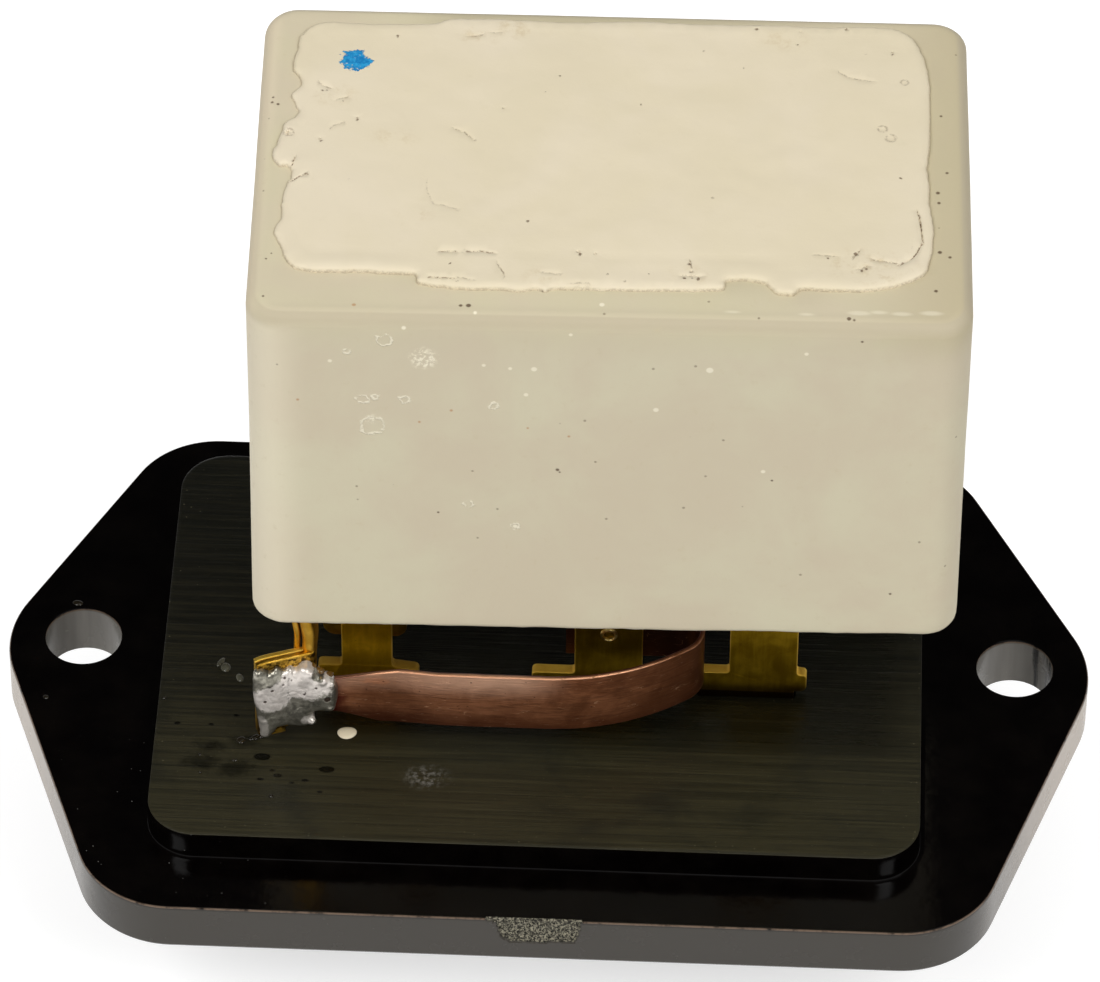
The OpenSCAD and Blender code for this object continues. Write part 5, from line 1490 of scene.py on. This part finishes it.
def make_windings():
    """The two wire-wound elements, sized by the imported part's own windings."""
    tree = helix_tree()
    for which in ("front", "rear"):
        low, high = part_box(which + "_winding")
        wire, pitch = 0.24 * MM, 0.9 * MM
        length = high.x - low.x - 2.4 * wire
        middle = ((low.y + high.y) / 2, (low.z + high.z) / 2)
        values = {"Coil Radius": (high.z - low.z) / 2 - wire - 0.01 * MM, "Wire Radius": wire,
                  "Length": length, "Turns": length / pitch, "Start": (low.x + 1.2 * wire, *middle)}
        mesh = run_tree(tree, which + "_winding_wire", values)
        finish_piece(which + "_winding_wire", mesh, WIRE, [which + "_winding"], SOFT)


def bead_tree(name, material):
    """Low domes set on given points, each with its own size and turn."""
    tree = tree_with(name, [("Bead Size", "Float"), ("Flatness", "Float"), ("Seed", "Int")])
    given = tree.nodes.new("NodeGroupInput").outputs
    ball = wire_up(tree, "GeometryNodeMeshIcoSphere", None, {"Radius": given["Bead Size"], "Subdivisions": 3})
    squash = wire_up(tree, "ShaderNodeCombineXYZ", None, {"X": 1.0, "Y": 1.0, "Z": given["Flatness"]})
    flat = wire_up(tree, "GeometryNodeTransform", None, {
        "Geometry": ball.outputs[0], "Scale": squash.outputs[0]})
    size = wire_up(tree, "FunctionNodeRandomValue", {"data_type": "FLOAT_VECTOR"}, {
        "Min": (0.45, 0.35, 0.5), "Max": (1.15, 0.9, 1.0), "Seed": given["Seed"]})
    turn = wire_up(tree, "FunctionNodeRandomValue", {"data_type": "FLOAT_VECTOR"}, {
        "Min": (0, 0, 0), "Max": (0, 0, 6.28), "Seed": given["Seed"]})
    placed = wire_up(tree, "GeometryNodeInstanceOnPoints", None, {
        "Points": given["Geometry"], "Instance": flat.outputs[0], "Rotation": turn.outputs[0],
        "Scale": size.outputs[0]})
    close_tree(tree, placed.outputs[0], material)
    return tree


# Beads and drops: size, flatness and places
BEADS = {
    "wet_flux_beads": (FLUX, 0.34, 0.5, [(-19.67, -10.91, PAD_H), (-19.05, -10.77, PAD_H),
                                         (-18.33, -10.39, PAD_H), (-18.75, -10.6, PAD_H)]),
    "fine_flux_beads": (FLUX, 0.17, 0.7, [(-22.28, -12.3, PAD_H), (-19.96, -12.75, PAD_H),
                                          (-22.12, -13.94, PAD_H), (-24.98, -7.4, PAD_H),
                                          (-17.37, -15.8, PAD_H)]),
    "flange_blisters": (FLUX, 0.32, 0.35, [(-31.65, 3.05, 0.0), (-33.02, -5.69, 0.0)]),
    "joint_resin": (BROWN_RESIN, 0.42, 0.9, [(-14.9, -10.95, 9.35), (-14.45, -11.0, 9.05),
                                             (-13.95, -11.1, 8.75)]),
    "resin_drops": (RESIN, 0.5, 0.35, [(-20.15, -5.32, PAD_H), (-21.5, -3.95, PAD_H),
                                       (-21.15, -4.4, PAD_H)])}


def make_beads():
    for seed, (name, (finish, size, flatness, spots)) in enumerate(BEADS.items(), 4):
        tree = bead_tree(name, finish.material)
        mesh = run_tree(tree, name, {"Bead Size": size * MM, "Flatness": flatness, "Seed": seed}, spots)
        finish_piece(name, mesh, finish, (), 80)


def make_cement_drop():
    """A flat dried drop of cement on the pad, in front of the fuse strip."""
    s = Shell()
    a = around(32)
    wobble = 1 + 0.06 * np.sin(2 * a + 1) + 0.04 * np.sin(3 * a)
    loop = np.stack([-12.8 + 0.6 * wobble * np.cos(a), -9.94 + 0.55 * wobble * np.sin(a)], 1)
    s.tube([s.ring(inset(loop, d), PAD_H + z) for d, z in ((0, -0.02), (0, 0.03), (0.05, 0.08), (0.2, 0.1))])
    s.piece("cement_drop", CEMENT, crease=SOFT, marks=[0.0] * len(s.verts))


make_plate()
make_case()
make_cement_fill()
make_terminals()
make_strip()
make_fuse_lead()
make_solder_lump()
make_rivet()
make_windings()
make_beads()
make_cement_drop()

# CAD nodes that keep their own mesh
for row in ("front", "rear"):
    for end, finish in (("core", CORE), ("cap_left", CAP_STEEL), ("cap_right", CAP_STEEL)):
        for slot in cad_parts[row + "_" + end].material_slots:
            slot.material = finish.material


# Floor, light and camera

def make_floor():
    """Pale paper, plain to the camera and in gloss, and open from below."""
    size, z = 2.5, cad_box[0].z - 0.0001
    mesh = bpy.data.meshes.new("floor")
    corners = [(-size, -size, z), (size, -size, z), (size, size, z), (-size, size, z)]
    mesh.from_pydata(corners, [], [(0, 1, 2, 3)])
    floor = add_object("floor", mesh)
    f = Finish("floor_paper", Roughness=0.9, Base_Color=(0.6, 0.6, 0.6, 1), Specular_IOR_Level=0.0,
               Emission_Strength=1.0)
    camera, gloss, through = (f.add("LightPath", out="Is %s Ray" % ray)
                              for ray in ("Camera", "Glossy", "Transmission"))
    f.set("Emission Color", f.mix(camera | gloss | through, (0, 0, 0), (0.62, 0.62, 0.62)))
    below = f.add("NewGeometry", out="Backfacing")
    clear = f.add("BsdfTransparent")
    mixed = f.add("MixShader", None, {0: below, 1: Val(f, f.shader.outputs[0]), 2: clear})
    f.tree.links.new(mixed.socket, f.tree.nodes["Material Output"].inputs["Surface"])
    mesh.materials.append(f.material)
    floor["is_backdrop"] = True


def make_world():
    """White to the camera. Gloss sees white near the horizon and a dark ceiling above it."""
    world = bpy.data.worlds.new("studio")
    bpy.context.scene.world = world
    world.use_nodes = True
    tree = world.node_tree
    back = tree.nodes["Background"]
    rays = tree.nodes.new("ShaderNodeLightPath")
    coords = tree.nodes.new("ShaderNodeTexCoord")
    parts = wire_up(tree, "ShaderNodeSeparateXYZ", None, {0: coords.outputs["Generated"]})
    fade = wire_up(tree, "ShaderNodeMapRange", {"interpolation_type": "SMOOTHSTEP"}, {
        0: parts.outputs["Z"], 1: 0.03, 2: 0.28, 3: 1.0, 4: 0.02})
    level = AMBIENT
    for ray, value in (("Glossy", fade.outputs[0]), ("Transmission", 1.0), ("Camera", 1.0)):
        level = wire_up(tree, "ShaderNodeMix", {"data_type": "FLOAT"}, {
            0: rays.outputs["Is %s Ray" % ray], 2: level, 3: value}).outputs[0]
    back.inputs["Color"].default_value = (1, 1, 1, 1)
    tree.links.new(level, back.inputs["Strength"])


def lamp(name, where, at, size, power):
    """A soft box in metres, turned towards a point."""
    data = bpy.data.lights.new(name, "AREA")
    data.shape, data.size, data.size_y, data.energy = "RECTANGLE", size[0], size[1], power
    obj = add_object(name, data)
    obj.location = where
    obj.rotation_mode = "QUATERNION"
    obj.rotation_quaternion = (Vector(at) - Vector(where)).to_track_quat("-Z", "Y")


AMBIENT = 0.36
make_floor()
make_world()
lamp("left_softbox", (-0.55, -0.62, 0.95), (0, 0, 0.02), (0.45, 0.5), 7.2)
lamp("right_softbox", (0.55, -0.62, 0.95), (0, 0, 0.02), (0.45, 0.5), 7.2)
lamp("top_softbox", (0.1, 0.1, 1.0), (0, 0, 0.02), (0.7, 0.7), 0.6)

# The camera as fitted to the photograph, which is 1100 pixels wide
FOCAL_PIXELS, PHOTO_PIXELS, SENSOR = 7559.5, 1100, 36.0
azimuth, elevation, roll = (math.radians(a) for a in (2.013, 45.0, 0.565))
target, away = Vector((-0.543, 15.194, 0)) * MM, 513.79 * MM
back = Vector((math.sin(azimuth) * math.cos(elevation), -math.cos(azimuth) * math.cos(elevation),
               math.sin(elevation)))
right = Vector((math.cos(azimuth), math.sin(azimuth), 0))
up = back.cross(right)
right, up = math.cos(roll) * right + math.sin(roll) * up, math.cos(roll) * up - math.sin(roll) * right
view = bpy.data.cameras.new("camera")
view.sensor_fit, view.sensor_width = "HORIZONTAL", SENSOR
view.lens = FOCAL_PIXELS / PHOTO_PIXELS * SENSOR
view.clip_start, view.clip_end = 0.01, 20.0
camera = add_object("camera", view)
camera.matrix_world = Matrix(list(zip(right, up, back))).to_4x4()
camera.location = target + back * away
bpy.context.scene.camera = camera
bpy.context.scene.view_settings.view_transform = "Standard"

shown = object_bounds()
[[list(corner) for corner in box] for box in (cad_box, shown)]
